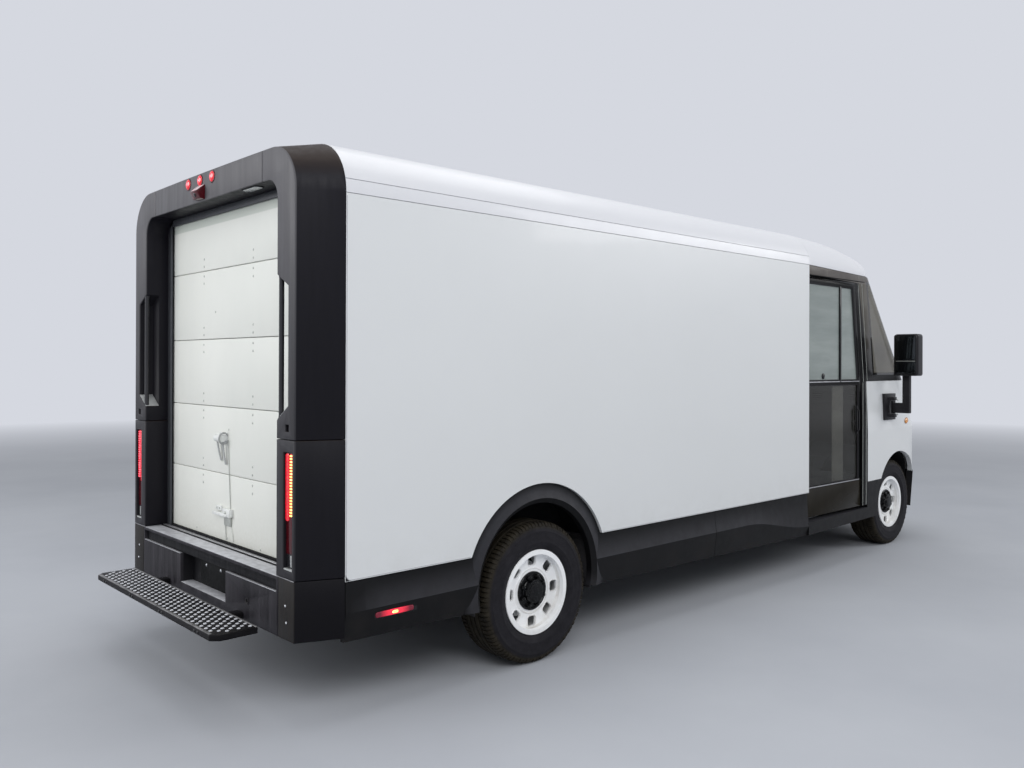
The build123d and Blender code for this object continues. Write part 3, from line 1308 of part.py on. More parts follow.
with BuildPart() as cab_floor:
    block((cab_back_x + PANEL_GAP, front_axle_x - front_arch_radius),
          (-cab_floor_half, cab_floor_half), (floor_bottom, FLOOR_Z))
    block((front_axle_x - front_arch_radius, front_axle_x + CAB_FLOOR_FRONT),
          (-FIREWALL_HALF_WIDTH, FIREWALL_HALF_WIDTH), (floor_bottom, FLOOR_Z))
    block((front_axle_x + CAB_FLOOR_FRONT - FIREWALL_THICKNESS, front_axle_x + CAB_FLOOR_FRONT),
          (-FIREWALL_HALF_WIDTH, FIREWALL_HALF_WIDTH), (FLOOR_Z, DASH_BOTTOM - PANEL_GAP))
    mirrored_blocks((cab_back_x + STEP_WELL_X[0], cab_back_x + STEP_WELL_X[1]),
                    (well_inner_y, cab_floor_half), (STEP_WELL_Z, FLOOR_Z))
    mirrored_blocks((cab_back_x + STEP_WELL_X[0] + WELL_WALL, cab_back_x + STEP_WELL_X[1] - WELL_WALL),
                    (well_inner_y + WELL_WALL, half_width), (STEP_WELL_Z + WELL_WALL, FLOOR_Z),
                    Mode.SUBTRACT)
    for side in (-1, 1):
        cross_cylinder(front_axle_x, front_arch_z, front_tub_room,
                       (side * (front_tub_y - PANEL_GAP), side * half_width), Mode.SUBTRACT)
finish_piece(cab_floor, "cab_floor")

DASH_INSET = 190                # body's side in to the dashboard's end
DASH_OUTLINE = (                # ahead of the front axle and above its own foot
    (-330, 495),
    (-370, 385),
    (-310, 175),
    (-180, 0),
    (200, 0),
    (200, 245),
    (130, 535),
    (-250, 535),
)

with BuildPart() as dashboard:
    extrude(
        side_outline([(front_axle_x + x, DASH_BOTTOM + z) for x, z in DASH_OUTLINE]),
        amount=half_width - DASH_INSET,
        both=True,
    )
    for side in (-1, 1):
        cross_cylinder(front_axle_x, front_arch_z, front_tub_room,
                       (side * (front_tub_y - PANEL_GAP), side * half_width), Mode.SUBTRACT)
finish_piece(dashboard, "dashboard")

# The seat is laid out from its middle, along X, and from the top of its cushion, along Z.
SEAT_Y = (200, 700)
SEAT_X = -1150                  # front axle back to the seat's middle
SEAT_TOP = 1100
CUSHION_HALF_LENGTH = 260
CUSHION_THICKNESS = 120
PEDESTAL_X = (-180, 200)
PEDESTAL_INSET = 60             # cushion's side in to the pedestal
PEDESTAL_LAP = 10               # the pedestal reaches into the cushion by this much
BACKREST_OUTLINE = ((-190, -40), (-310, -40), (-400, 560), (-300, 580))
HEADREST_X = (-420, -310)
HEADREST_Z = (590, 780)
HEADREST_HALF_WIDTH = 100
HEADREST_POST_X = (-375, -350)
HEADREST_POST_Z = (520, 600)
HEADREST_POST_HALF_WIDTH = 50
seat_x = front_axle_x + SEAT_X
seat_middle_y = sum(SEAT_Y) / 2

with BuildPart() as driver_seat:
    block(
        shifted(seat_x, PEDESTAL_X),
        (SEAT_Y[0] + PEDESTAL_INSET, SEAT_Y[1] - PEDESTAL_INSET),
        (FLOOR_Z, SEAT_TOP - CUSHION_THICKNESS + PEDESTAL_LAP),
    )
    block(
        shifted(seat_x, (-CUSHION_HALF_LENGTH, CUSHION_HALF_LENGTH)),
        SEAT_Y,
        (SEAT_TOP - CUSHION_THICKNESS, SEAT_TOP),
    )
    with BuildSketch(Plane.XZ.offset(-SEAT_Y[0])):
        with BuildLine():
            Polyline(*[(seat_x + x, SEAT_TOP + z) for x, z in BACKREST_OUTLINE], close=True)
        make_face()
    extrude(amount=SEAT_Y[0] - SEAT_Y[1])
    block(
        shifted(seat_x, HEADREST_X),
        shifted(seat_middle_y, (-HEADREST_HALF_WIDTH, HEADREST_HALF_WIDTH)),
        shifted(SEAT_TOP, HEADREST_Z),
    )
    block(
        shifted(seat_x, HEADREST_POST_X),
        shifted(seat_middle_y, (-HEADREST_POST_HALF_WIDTH, HEADREST_POST_HALF_WIDTH)),
        shifted(SEAT_TOP, HEADREST_POST_Z),
    )
finish_piece(driver_seat, "driver_seat")

STEERING_Y = 450
STEERING_TILT = 50              # the wheel's axis leans this far from upright, degrees
STEERING_X = -560               # front axle back to the wheel's middle
STEERING_Z = 1340
STEERING_RADIUS = 200
STEERING_RIM_RADIUS = 15
STEERING_HUB_RADIUS = 50
STEERING_HUB_DEPTH = 50
STEERING_SPOKE_SIZE = (34, 14)

steering_plane = Plane(
    (front_axle_x + STEERING_X, STEERING_Y, STEERING_Z),
    x_dir=(0, 1, 0),
    z_dir=(-math.sin(math.radians(STEERING_TILT)), 0, math.cos(math.radians(STEERING_TILT))),
)
with BuildPart() as steering_wheel:
    with Locations(steering_plane):
        Torus(STEERING_RADIUS - STEERING_RIM_RADIUS, STEERING_RIM_RADIUS)
        with Locations((0, 0, -STEERING_HUB_DEPTH / 2)):
            Cylinder(STEERING_HUB_RADIUS, STEERING_HUB_DEPTH)
        Box(2 * (STEERING_RADIUS - STEERING_RIM_RADIUS), *STEERING_SPOKE_SIZE)
finish_piece(steering_wheel, "steering_wheel")

# ================================================================ mirrors
MIRROR_X = -240                 # front axle back to the mirror's middle
MIRROR_Y = (12, 219)            # out from the body's side
MIRROR_Z = (1550, 1918)
MIRROR_DEPTH = 125
MIRROR_PIVOT_INSET = 20
MIRROR_PLATE_INSET = (100, 46)
MIRROR_PIVOT_Z = 1270
MIRROR_PLATE_HALF_LENGTH = 110
MIRROR_PLATE_Z = (1155, 1390)
MIRROR_LUG_OFFSET = 75          # pivot's middle up and down to the mount's two lugs
MIRROR_LUG_HALF_LENGTH = 30
MIRROR_LUG_HALF_HEIGHT = 15
MIRROR_LUG_REACH = 20           # beyond the pivot
MIRROR_BOSS_RADIUS = 17
MIRROR_BOSS_HEIGHT = 108
MIRROR_ARM_HALF_LENGTH = 25
MIRROR_ARM_Z = (-50, 40)        # from the pivot's middle
MIRROR_ARM_INSET = (58, 89)     # head's inner and outer faces in to the arm
MIRROR_ARM_LAP = 20             # the arm reaches into the head by this much
MIRROR_CORNER = 25
mirror_x = front_axle_x + MIRROR_X
mirror_y = shifted(half_width, MIRROR_Y)
mirror_pivot_y = half_width - MIRROR_PIVOT_INSET
mirror_plate_y = (half_width - MIRROR_PLATE_INSET[0], half_width - MIRROR_PLATE_INSET[1])
mirror_arm_x = shifted(mirror_x, (-MIRROR_ARM_HALF_LENGTH, MIRROR_ARM_HALF_LENGTH))
mirror_arm_y = (mirror_y[0] + MIRROR_ARM_INSET[0], mirror_y[1] - MIRROR_ARM_INSET[1])

with BuildPart() as mirror_mounts:
    mirrored_blocks(
        shifted(mirror_x, (-MIRROR_PLATE_HALF_LENGTH, MIRROR_PLATE_HALF_LENGTH)),
        mirror_plate_y,
        MIRROR_PLATE_Z,
    )
    for end in (-1, 1):
        mirrored_blocks(
            shifted(mirror_x, (-MIRROR_LUG_HALF_LENGTH, MIRROR_LUG_HALF_LENGTH)),
            (mirror_plate_y[1], mirror_pivot_y + MIRROR_LUG_REACH),
            shifted(
                MIRROR_PIVOT_Z + end * MIRROR_LUG_OFFSET,
                (-MIRROR_LUG_HALF_HEIGHT, MIRROR_LUG_HALF_HEIGHT),
            ),
        )
    add(cab_outer, mode=Mode.SUBTRACT)
finish_piece(mirror_mounts, "mirror_mounts")

with BuildPart() as mirror_left:
    with Locations((mirror_x, mirror_pivot_y, MIRROR_PIVOT_Z)):
        Cylinder(MIRROR_BOSS_RADIUS, MIRROR_BOSS_HEIGHT)
    block(mirror_arm_x, (mirror_pivot_y, mirror_arm_y[1]), shifted(MIRROR_PIVOT_Z, MIRROR_ARM_Z))
    block(mirror_arm_x, mirror_arm_y, (MIRROR_PIVOT_Z, MIRROR_Z[0] + MIRROR_ARM_LAP))
    block(shifted(mirror_x, (-MIRROR_DEPTH / 2, MIRROR_DEPTH / 2)), mirror_y, MIRROR_Z)
    head_top = mirror_left.faces().sort_by(Axis.Z)[-1]
    head_side = mirror_left.faces().sort_by(Axis.Y)[-1]
    fillet(head_top.edges() + head_side.edges(), MIRROR_CORNER)
finish_piece(mirror_left, "mirror_left")

with BuildPart() as mirror_right:
    mirror(mirror_left.part, about=Plane.XZ)
finish_piece(mirror_right, "mirror_right")
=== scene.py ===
"""Looks of the electric step-in delivery van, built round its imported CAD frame, in metres."""

import json
import math

import bmesh
import bpy
from mathutils import Matrix, Vector
from mathutils.bvhtree import BVHTree

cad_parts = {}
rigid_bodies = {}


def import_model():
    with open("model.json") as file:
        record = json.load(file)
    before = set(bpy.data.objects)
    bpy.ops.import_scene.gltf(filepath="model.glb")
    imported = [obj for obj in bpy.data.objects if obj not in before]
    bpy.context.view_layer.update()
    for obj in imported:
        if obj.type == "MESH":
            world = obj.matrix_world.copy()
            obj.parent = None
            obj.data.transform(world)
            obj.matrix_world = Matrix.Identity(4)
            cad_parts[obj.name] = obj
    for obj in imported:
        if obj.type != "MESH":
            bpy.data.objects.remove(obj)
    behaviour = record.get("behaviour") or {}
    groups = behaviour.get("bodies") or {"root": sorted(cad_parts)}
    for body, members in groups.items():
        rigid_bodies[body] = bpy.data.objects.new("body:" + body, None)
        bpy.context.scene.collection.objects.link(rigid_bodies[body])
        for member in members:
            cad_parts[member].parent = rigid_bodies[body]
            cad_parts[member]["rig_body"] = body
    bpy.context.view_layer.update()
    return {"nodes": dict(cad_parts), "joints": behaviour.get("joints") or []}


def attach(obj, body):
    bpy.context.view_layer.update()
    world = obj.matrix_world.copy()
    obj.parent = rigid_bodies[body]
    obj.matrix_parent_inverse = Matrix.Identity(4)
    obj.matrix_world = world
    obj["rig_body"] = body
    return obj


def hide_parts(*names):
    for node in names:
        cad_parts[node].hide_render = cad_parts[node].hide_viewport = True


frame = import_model()
cad_nodes = frame["nodes"]
joints = {joint["name"]: joint for joint in frame["joints"]}

SIDES = {"left": 1, "right": -1}
WHEELS = [(end, side) for end in ("front", "rear") for side in SIDES]
rear_axle = Vector(joints["rear_left_spin"]["pos_m"])
front_axle = Vector(joints["front_left_spin"]["pos_m"])


# ---- places that the pieces share
PORTAL_BACK = rear_axle.x - 1.456       # rear face of the hoop
PORTAL_FRONT = rear_axle.x - 1.246      # seam with the side panels
DOOR_BACK = rear_axle.x - 1.312         # outer face of the roller door
CAB_BACK = front_axle.x - 1.761
SIDE_Y = 1.06                          # outer face of the cargo body
OPENING = 0.811                         # half width of the rear opening
OPENING_TOP = 2.495
SILL_Z = 0.672
DOOR_SEAMS = (1.043, 1.405, 1.774, 2.158)
LAMP_Y = (0.8745, 0.9515)               # width of a tail lamp
LED_TOP, LED_PITCH, LED_COUNT = 1.228, 0.0134, 21
STEP_X = (-3.673, -3.458)
STEP_HALF = 0.775
STEP_Z = (0.417, 0.45)
STEP_CORNER = 0.035
ROWS, ROW_PITCH, STUD_PITCH = 7, 0.0275, 0.0492
WALL_BACK = PORTAL_FRONT + 0.003
WALL_FOOT = 0.6575
WALL_CORNER = 0.03
ARCH = Vector((rear_axle.x, 0, 0.45))
ARCH_RADIUS = 0.54
MARKER_X = (-3.013, -2.795)
MARKER_Z = (0.459, 0.485)
MIDRAIL_Z = 1.495                       # middle rail of a side door
HEADER_Z = 2.341                        # foot of the header over a side door
SEAT_X = 1.578
SEAT_MIDDLE = 0.45

BACK, FRONT, UP = (-1, 0, 0), (1, 0, 0), (0, 0, 1)


def hoop_x(low, high):
    """Range of x measured from the hoop's rear face."""
    return (PORTAL_BACK + low, PORTAL_BACK + high)


def door_x(low, high):
    """Range of x measured from the roller door's outer face."""
    return (DOOR_BACK + low, DOOR_BACK + high)


def sill_z(low, high):
    """Range of z measured from the sill."""
    return (SILL_Z + low, SILL_Z + high)


def side_y(sign, low, high):
    """Range of y on the left for 1 and on the right for -1."""
    return (low, high) if sign > 0 else (-high, -low)


def both_y(low, high):
    """The same range of y on the left and on the right."""
    return (side_y(1, low, high), side_y(-1, low, high))


def ring_angles(count):
    return [2 * math.pi * k / count for k in range(count)]


# ---- materials
DARK_LIMIT = 0.09       # linear colours under this are moulded plastics and rubber
DARK_SHINE = 0.13       # they reflect less of the pale studio than paint does
SHINE = "Specular IOR Level"
NO_LIGHT = (0, 0, 0)


def srgb(colour):
    """Linear colour from eight-bit display values."""
    values = [value / 255 for value in colour]
    return tuple(
        value / 12.92 if value <= 0.04045 else ((value + 0.055) / 1.055) ** 2.4 for value in values
    )


def shade(colour, factor):
    """Colour made darker or lighter by a factor."""
    return tuple(min(1, channel * factor) for channel in colour)


class Nodes:
    """Node tree that is filled through short calls."""

    def __init__(self, tree):
        self.tree = tree

    def feed(self, socket, value):
        """Links an output to the socket, or writes a number or a tuple to it."""
        if isinstance(value, bpy.types.NodeSocket):
            self.tree.links.new(value, socket)
        elif value is not None:
            socket.default_value = value

    def node(self, kind, output, inputs, **settings):
        """Output of a new node with its settings and its inputs filled in."""
        node = self.tree.nodes.new("ShaderNode" + kind)
        for name, value in settings.items():
            setattr(node, name, value)
        for name, value in inputs.items():
            self.feed(node.inputs[name], value)
        return node.outputs[output]

    def maths(self, operation, first, second=None):
        """Sum, product or other result of two values."""
        return self.node("Math", "Value", {0: first, 1: second}, operation=operation)


class Surface(Nodes):
    """Node material painted by object-space position, with its own gloss and bump."""

    def __init__(self, name):
        self.material = bpy.data.materials.new(name)
        self.material.use_nodes = True
        super().__init__(self.material.node_tree)
        self.shader = self.tree.nodes["Principled BSDF"]
        self.place = self.node("TexCoord", "Object", {})
        self.facing = self.node("TexCoord", "Normal", {})

    def stretched(self, scale):
        """Object coordinates, scaled by a different amount on each axis if asked."""
        if scale is None:
            return self.place
        return self.node("Mapping", "Vector", {"Vector": self.place, "Scale": scale})

    def noise(self, scale, detail=4, rough=0.55, stretch=None):
        return self.node("TexNoise", "Fac", {"Vector": self.stretched(stretch), "Scale": scale,
                                             "Detail": detail, "Roughness": rough})

    def cells(self, scale):
        return self.node("TexVoronoi", "Distance", {"Vector": self.place, "Scale": scale})

    def spread(self, value, low=0, high=1, from_low=0.3, from_high=0.7):
        """Value mapped from one range to another, clamped."""
        inputs = {"Value": value, "From Min": from_low, "From Max": from_high, "To Min": low,
                  "To Max": high}
        return self.node("MapRange", "Result", inputs)

    def rise(self, value, start, end):
        """0 below the start and 1 above the end."""
        return self.spread(value, 0, 1, start, end)

    def fall(self, value, start, end):
        """1 below the start and 0 above the end."""
        return self.spread(value, 1, 0, start, end)

    def mix(self, share, first, second):
        """Blend of two colours; each is a linear colour or an output."""
        first, second = ((*c, 1) if isinstance(c, tuple) else c for c in (first, second))
        inputs = {"Factor": share, "A": first, "B": second}
        return self.node("Mix", "Result", inputs, data_type="RGBA")

    def blend(self, share, first, second):
        """Blend of two colours; each is an eight-bit display colour or an output."""
        return self.mix(share, *(srgb(c) if isinstance(c, tuple) else c for c in (first, second)))

    def along(self, axis):
        """Object coordinate along one axis."""
        return self.node("SeparateXYZ", axis, {"Vector": self.place})

    def height(self):
        return self.along("Z")

    def width(self):
        """Distance from the middle plane."""
        return self.maths("ABSOLUTE", self.along("Y"))

    def multiply(self, first, second):
        return self.maths("MULTIPLY", first, second)

    def larger(self, first, second):
        return self.maths("MAXIMUM", first, second)

    def vector(self, operation, first, second=None):
        """Result of a sum on vectors; each is a triple or an output."""
        result = "Value" if operation == "DOT_PRODUCT" else "Vector"
        return self.node("VectorMath", result, {0: first, 1: second}, operation=operation)

    def toward(self, direction):
        """How far the surface faces a direction, 1 when it faces it squarely."""
        return self.vector("DOT_PRODUCT", self.facing, direction)

    def bump(self, value, distance, strength=1):
        """Bump laid over the bumps that are there already."""
        normal = self.shader.inputs["Normal"]
        below = normal.links[0].from_socket if normal.links else None
        self.feed(normal, self.node("Bump", "Normal", {"Strength": strength, "Distance": distance,
                                                       "Height": value, "Normal": below}))

    def finish(self, colour, roughness, bumps=(), more=None, alpha=None):
        """Fills the shader; each bump is its height, its depth and, if asked, its strength."""
        inputs = {"Base Color": colour, "Roughness": roughness, "Alpha": alpha, **(more or {})}
        for name, value in inputs.items():
            self.feed(self.shader.inputs[name], value)
        for bump in bumps:
            self.bump(*bump)
        if alpha is not None:
            self.material.surface_render_method = "BLENDED"
        return self.material


def finish_of(name, colour, roughness, variation, scale, grain, grain_scale, metallic=0, coat=0,
              dirt=None, dirt_height=0.9, stretch=None):
    """General painted, moulded or metal surface, in display colours."""
    look = Surface(name)
    colour = srgb(colour)
    cloud = look.noise(scale, stretch=stretch)
    base = look.mix(look.spread(cloud), shade(colour, 1 - variation), shade(colour, 1 + variation))
    if dirt:
        low = look.fall(look.height(), 0.05, dirt_height)
        share = look.multiply(low, look.spread(look.noise(7, 8, 0.7), 0, 0.85, 0.4, 0.75))
        base = look.blend(share, base, dirt)
    fine = look.noise(scale * 9, 6, 0.6, stretch)
    gloss = look.spread(fine, roughness * 0.86, min(1, roughness * 1.16))
    more = {"Metallic": metallic}
    if max(colour) < DARK_LIMIT:
        more[SHINE] = DARK_SHINE
    if coat:
        more.update({"Coat Weight": coat, "Coat Roughness": 0.06})
    bumps = [(look.noise(grain_scale, 3, 0.5), grain)] if grain else ()
    return look.finish(base, gloss, bumps, more)


def lit_of(name, colour, strength, core=None):
    """Lamp lens that glows, brighter in a fine cell pattern."""
    look = Surface(name)
    colour = srgb(colour)
    cell = look.cells(90)
    share = look.rise(cell, 0.1, 0.6)
    base = look.mix(share, colour, shade(colour, 0.55))
    glow = look.mix(share, srgb(core) if core else colour, shade(colour, 0.7))
    more = {"Emission Color": glow, "Emission Strength": strength, "Coat Weight": 0.6,
            "Coat Roughness": 0.05}
    return look.finish(base, look.spread(look.noise(30), 0.08, 0.2), [(cell, 0.0006, 0.5)], more)


# name, display colour, roughness, variation, cloud scale, depth and scale of the grain
WHITE = finish_of("white_paint", (222, 224, 225), 0.33, 0.012, 0.7, 0.00006, 700, coat=0.25,
                  dirt=(190, 188, 184), dirt_height=0.85)
ROOF_WHITE = finish_of("roof_paint", (221, 222, 226), 0.36, 0.015, 0.8, 0.00006, 700, coat=0.2)
SKIRT = finish_of("skirt_plastic", (52, 52, 55), 0.42, 0.14, 1.6, 0.0002, 900,
                  dirt=(66, 60, 54), dirt_height=0.75)
BLACK = finish_of("black_plastic", (40, 40, 43), 0.5, 0.16, 2.2, 0.00025, 800,
                  dirt=(70, 66, 60), dirt_height=0.8)
GLOSS = finish_of("gloss_black", (30, 30, 33), 0.2, 0.18, 3, 0, 400, coat=0.6,
                  stretch=(1.4, 1.4, 0.2))
DARK = finish_of("underbody_black", (24, 24, 26), 0.75, 0.25, 4, 0.0006, 160,
                 dirt=(58, 54, 48), dirt_height=0.6)
STEEL = finish_of("frame_steel", (48, 48, 50), 0.6, 0.2, 5, 0.0003, 220, metallic=0.3,
                  dirt=(76, 68, 58), dirt_height=0.6)
ALUMINIUM = finish_of("pack_aluminium", (120, 122, 125), 0.45, 0.1, 6, 0.0002, 300, metallic=0.8,
                      dirt=(80, 76, 70), dirt_height=0.5)
SILL = finish_of("sill_metal", (186, 187, 192), 0.42, 0.2, 30, 0.0005, 110, metallic=0.15,
                 stretch=(1, 0.6, 1))
PLATE = finish_of("plate_black", (13, 14, 15), 0.6, 0.3, 8, 0.0001, 300)
EDGE = finish_of("edge_metal", (176, 176, 180), 0.35, 0.15, 12, 0.0003, 200, metallic=0.6)
STEP = finish_of("step_metal", (22, 21, 23), 0.5, 0.3, 14, 0.0004, 260, metallic=0.2)
STUD = finish_of("step_stud", (205, 207, 212), 0.35, 0.16, 40, 0.0003, 400, metallic=0.4)
WORN = finish_of("step_worn", (112, 111, 112), 0.45, 0.6, 14, 0.0006, 140, metallic=0.3,
                 stretch=(1, 1, 1))
SATIN = finish_of("bar_metal", (176, 178, 180), 0.3, 0.08, 20, 0.0002, 400, metallic=0.85)
BAR = finish_of("bar_black", (52, 52, 55), 0.3, 0.15, 8, 0.0002, 500, metallic=0.3, coat=0.3,
                stretch=(1, 1, 0.2))
GUIDE = finish_of("guide_grey", (72, 74, 78), 0.4, 0.14, 6, 0.0001, 500, metallic=0.2,
                  stretch=(1, 1, 0.2))
RUBBER = finish_of("tyre_rubber", (44, 43, 46), 0.72, 0.14, 9, 0.0005, 240,
                   dirt=(72, 66, 58), dirt_height=0.35)
WHEEL = finish_of("wheel_white", (250, 251, 252), 0.35, 0.02, 14, 0.0002, 260, coat=0.2,
                  dirt=(190, 184, 174), dirt_height=0.5)
HUB = finish_of("hub_black", (22, 22, 24), 0.3, 0.3, 20, 0.0004, 220, coat=0.3)
FLOOR_GREY = finish_of("floor_grey", (120, 122, 124), 0.6, 0.12, 8, 0.0005, 160)
TRIM = finish_of("interior_grey", (96, 98, 98), 0.6, 0.1, 4, 0.0003, 420)
LINER = finish_of("liner_pale", (172, 172, 160), 0.5, 0.06, 2, 0.0002, 400)
BLIND = finish_of("black_trim", (15, 15, 17), 0.42, 0.25, 6, 0.0001, 500)
CLEAR = finish_of("clear_lens", (206, 210, 214), 0.12, 0.06, 10, 0.0004, 200, coat=0.5)
PALE_LAMP = finish_of("pale_lamp", (170, 172, 172), 0.2, 0.1, 60, 0.0003, 300, coat=0.4)
POD_FACE = finish_of("pod_face", (226, 204, 208), 0.3, 0.06, 30, 0.0002, 300, coat=0.4)
RIVET = finish_of("rivet_grey", (176, 179, 174), 0.35, 0.12, 60, 0.0001, 500, metallic=0.4)
STRAP = finish_of("strap_grey", (158, 160, 160), 0.7, 0.18, 90, 0.0004, 900)
BOSS = finish_of("boss_white", (224, 226, 224), 0.35, 0.05, 30, 0.0001, 500, coat=0.2)
MIRROR_GLASS = finish_of("mirror_glass", (58, 61, 64), 0.05, 0.12, 5, 0.00003, 60, metallic=0.9)
MIRROR_SHELL = finish_of("mirror_shell", (40, 39, 42), 0.34, 0.16, 12, 0.0002, 600)
AMBER_DARK = finish_of("amber_seat", (150, 104, 62), 0.3, 0.2, 40, 0.0003, 300, coat=0.3)
RED_DARK = finish_of("red_lens_dark", (74, 8, 18), 0.18, 0.2, 30, 0.0004, 300, coat=0.5)
RED = lit_of("red_lens", (214, 18, 36), 0.9)
SPARK = lit_of("lamp_spark", (255, 196, 96), 3.2, (255, 226, 150))
RED_SPARK = lit_of("lamp_red_spark", (255, 70, 90), 2.2, (255, 130, 140))
AMBER = lit_of("amber_lens", (226, 150, 62), 0.25)
HEADLIGHT = lit_of("headlamp_strip", (226, 232, 240), 0.6)


def hoop_finish():
    """Satin hoop with painted light: the rear face is painted paler toward the top as a painted
    reflection, the rounded outer edge carries a painted highlight, and the dark flanks are painted
    browner where they face up.
    """
    look = Surface("hoop_satin")
    height = look.height()
    streak = look.noise(4, 6, 0.6, (3, 4, 0.14))
    fine = look.noise(30, 6, 0.6, (1, 1, 0.1))
    # painted reflection: the rear face is painted from dark to pale grey with height
    face = look.blend(look.rise(height, 1.1, 2.5), (46, 45, 49), (98, 97, 100))
    face = look.blend(look.spread(streak, 0, 0.3), face, (52, 52, 54))
    # painted light: the flanks are painted a touch paler toward the top
    side = look.blend(look.rise(height, 1.4, 2.5), (25, 24, 29), (28, 27, 33))
    side = look.blend(look.spread(fine, 0, 0.4), side, (16, 16, 20))
    # painted light: upward-facing parts of the flanks are painted lighter and browner
    side = look.blend(look.rise(look.toward(UP), 0.25, 0.6), side, (42, 33, 29))
    edge = look.fall(look.along("X"), *hoop_x(0.004, 0.008))
    rounded = look.multiply(edge, look.fall(look.toward(BACK), 0.93, 0.99))
    outside = look.larger(look.rise(look.width(), 1.03, 1.04), look.rise(height, 2.69, 2.7))
    # painted highlight on the rounded outer edge, stronger toward the top, not wear
    wear_and_highlight = look.multiply(rounded, look.multiply(outside, look.spread(height, 0, 0.9, 1.4, 2.4)))
    base = look.blend(wear_and_highlight, look.mix(edge, side, face), (176, 174, 174))
    return look.finish(base, look.spread(fine, 0.36, 0.52), [(fine, 0.0003)], {SHINE: DARK_SHINE})


def roller_door_finish():
    """Grey-white sections with a darker, greener band of painted shade under the top beam, and
    dusty at the foot.
    """
    look = Surface("roller_door_paint")
    fine = look.noise(60, 5, 0.6)
    cloud = look.noise(1.2, 4, 0.55, (1, 1, 0.5))
    base = look.blend(look.spread(cloud), (216, 218, 212), (228, 229, 223))
    # painted shade: a darker, greener band under the top beam
    base = look.blend(look.rise(look.height(), 2.405, 2.412), base, (190, 196, 188))
    low = look.spread(look.height(), 0.35, 0, 0.68, 0.95)
    base = look.blend(look.multiply(low, look.spread(fine, 0.3, 1)), base, (196, 193, 182))
    return look.finish(base, look.spread(fine, 0.38, 0.5), [(look.noise(450, 3), 0.00008)])


def bumper_finish():
    """Scuffed grey-purple face between darker brown corner pieces; all that lies back from the rear
    face, the plate recess, the tops and the corners' flanks, is painted near-black as shade.
    """
    look = Surface("rear_bumper_plastic")
    depth = look.along("X")
    scuff = look.noise(9, 7, 0.65, (1, 2.6, 0.22))
    face = look.blend(look.rise(scuff, 0.35, 0.68), (23, 22, 26), (58, 56, 61))
    # painted shade: the middle face is painted near-black where it lies back from the rear face, in
    # the plate recess and on its top
    face = look.blend(look.rise(depth, *hoop_x(0.01, 0.02)), face, (20, 20, 23))
    corner = look.blend(look.spread(scuff), (27, 26, 27), (48, 45, 43))
    # painted shade: the corners' flanks, behind their rear faces, are painted near-black
    corner = look.blend(look.rise(depth, *hoop_x(0.001, 0.005)), corner, (15, 14, 18))
    base = look.mix(look.rise(look.width(), 0.826, 0.829), face, corner)
    bumps = [(look.noise(160, 5, 0.6), 0.0004), (scuff, 0.0008, 0.5)]
    return look.finish(base, look.spread(scuff, 0.36, 0.62), bumps, {SHINE: DARK_SHINE})


def skirt_finish():
    """Moulded band with painted light: faces that tilt up, and in the flare faces turned outward
    from the arch, are painted paler, and faces below the crease stay dark as painted shade; dusty
    low down.
    """
    look = Surface("skirt_band")
    fine = look.noise(14, 6, 0.6)
    spoke = look.vector("SUBTRACT", look.place, tuple(ARCH))
    spoke = look.vector("MULTIPLY", spoke, (1, 0, 1))
    reach = look.vector("DOT_PRODUCT", spoke, spoke)
    outward = look.vector("DOT_PRODUCT", look.facing, look.vector("NORMALIZE", spoke))
    in_flare = look.fall(reach, ARCH_RADIUS ** 2 - 0.002, ARCH_RADIUS ** 2)
    upward = look.larger(look.toward(UP), look.multiply(outward, in_flare))
    # painted light and shade: colour follows how far a face tilts up, or outward from the arch
    # inside the flare
    band = look.blend(look.rise(upward, 0.03, 0.2), (11, 11, 13), (50, 50, 54))
    band = look.blend(look.spread(fine, 0, 0.25), band, (18, 18, 20))
    low = look.spread(look.height(), 0.5, 0, 0.3, 0.62)
    dust = look.multiply(low, look.rise(look.noise(7, 8, 0.7), 0.45, 0.8))
    return look.finish(look.blend(dust, band, (46, 42, 40)), look.spread(fine, 0.42, 0.56),
                       [(look.noise(900, 3, 0.5), 0.0002)], {SHINE: 0.18})


def marker_finish():
    """Red lens, hot in its middle and dull at its ends."""
    look = Surface("side_marker_lens")
    along = look.maths("SUBTRACT", look.along("X"), sum(MARKER_X) / 2)
    hot = look.fall(look.maths("ABSOLUTE", along, 0), 0.012, 0.085)
    cell = look.cells(110)
    colour = look.blend(hot, (116, 26, 48), (236, 36, 62))
    colour = look.blend(look.spread(cell, 0, 0.4, 0.1, 0.6), colour, (120, 10, 30))
    more = {"Emission Color": look.blend(hot, (40, 4, 10), (255, 52, 74)), "Emission Strength": 1}
    return look.finish(colour, look.spread(cell, 0.14, 0.26), [(cell, 0.0005, 0.5)], more)


def cab_side_finish():
    """Gloss black frame; the header and the upper windscreen pillar are painted grey-brown as a
    painted reflection, the pillar fading to black lower down.
    """
    look = Surface("cab_side_gloss")
    height = look.height()
    streak = look.noise(3, 5, 0.6, (1.4, 1.4, 0.2))
    black = look.blend(look.spread(streak), (7, 7, 8), (17, 17, 18))
    # painted reflection: grey-brown header and upper pillar on the black gloss frame
    header = look.blend(look.spread(streak), (86, 82, 80), (104, 100, 96))
    pillar = look.blend(look.rise(height, 1.6, 2.2), (20, 20, 21), (84, 80, 72))
    lean = look.maths("ADD", look.along("X"), look.multiply(height, 0.12))
    base = look.mix(look.rise(lean, 2.268, 2.274), black, pillar)
    base = look.mix(look.rise(height, HEADER_Z + 0.004, HEADER_Z + 0.008), base, header)
    return look.finish(base, look.spread(streak, 0.16, 0.3), [(look.noise(260, 3), 0.00006)],
                       {SHINE: 0.05})


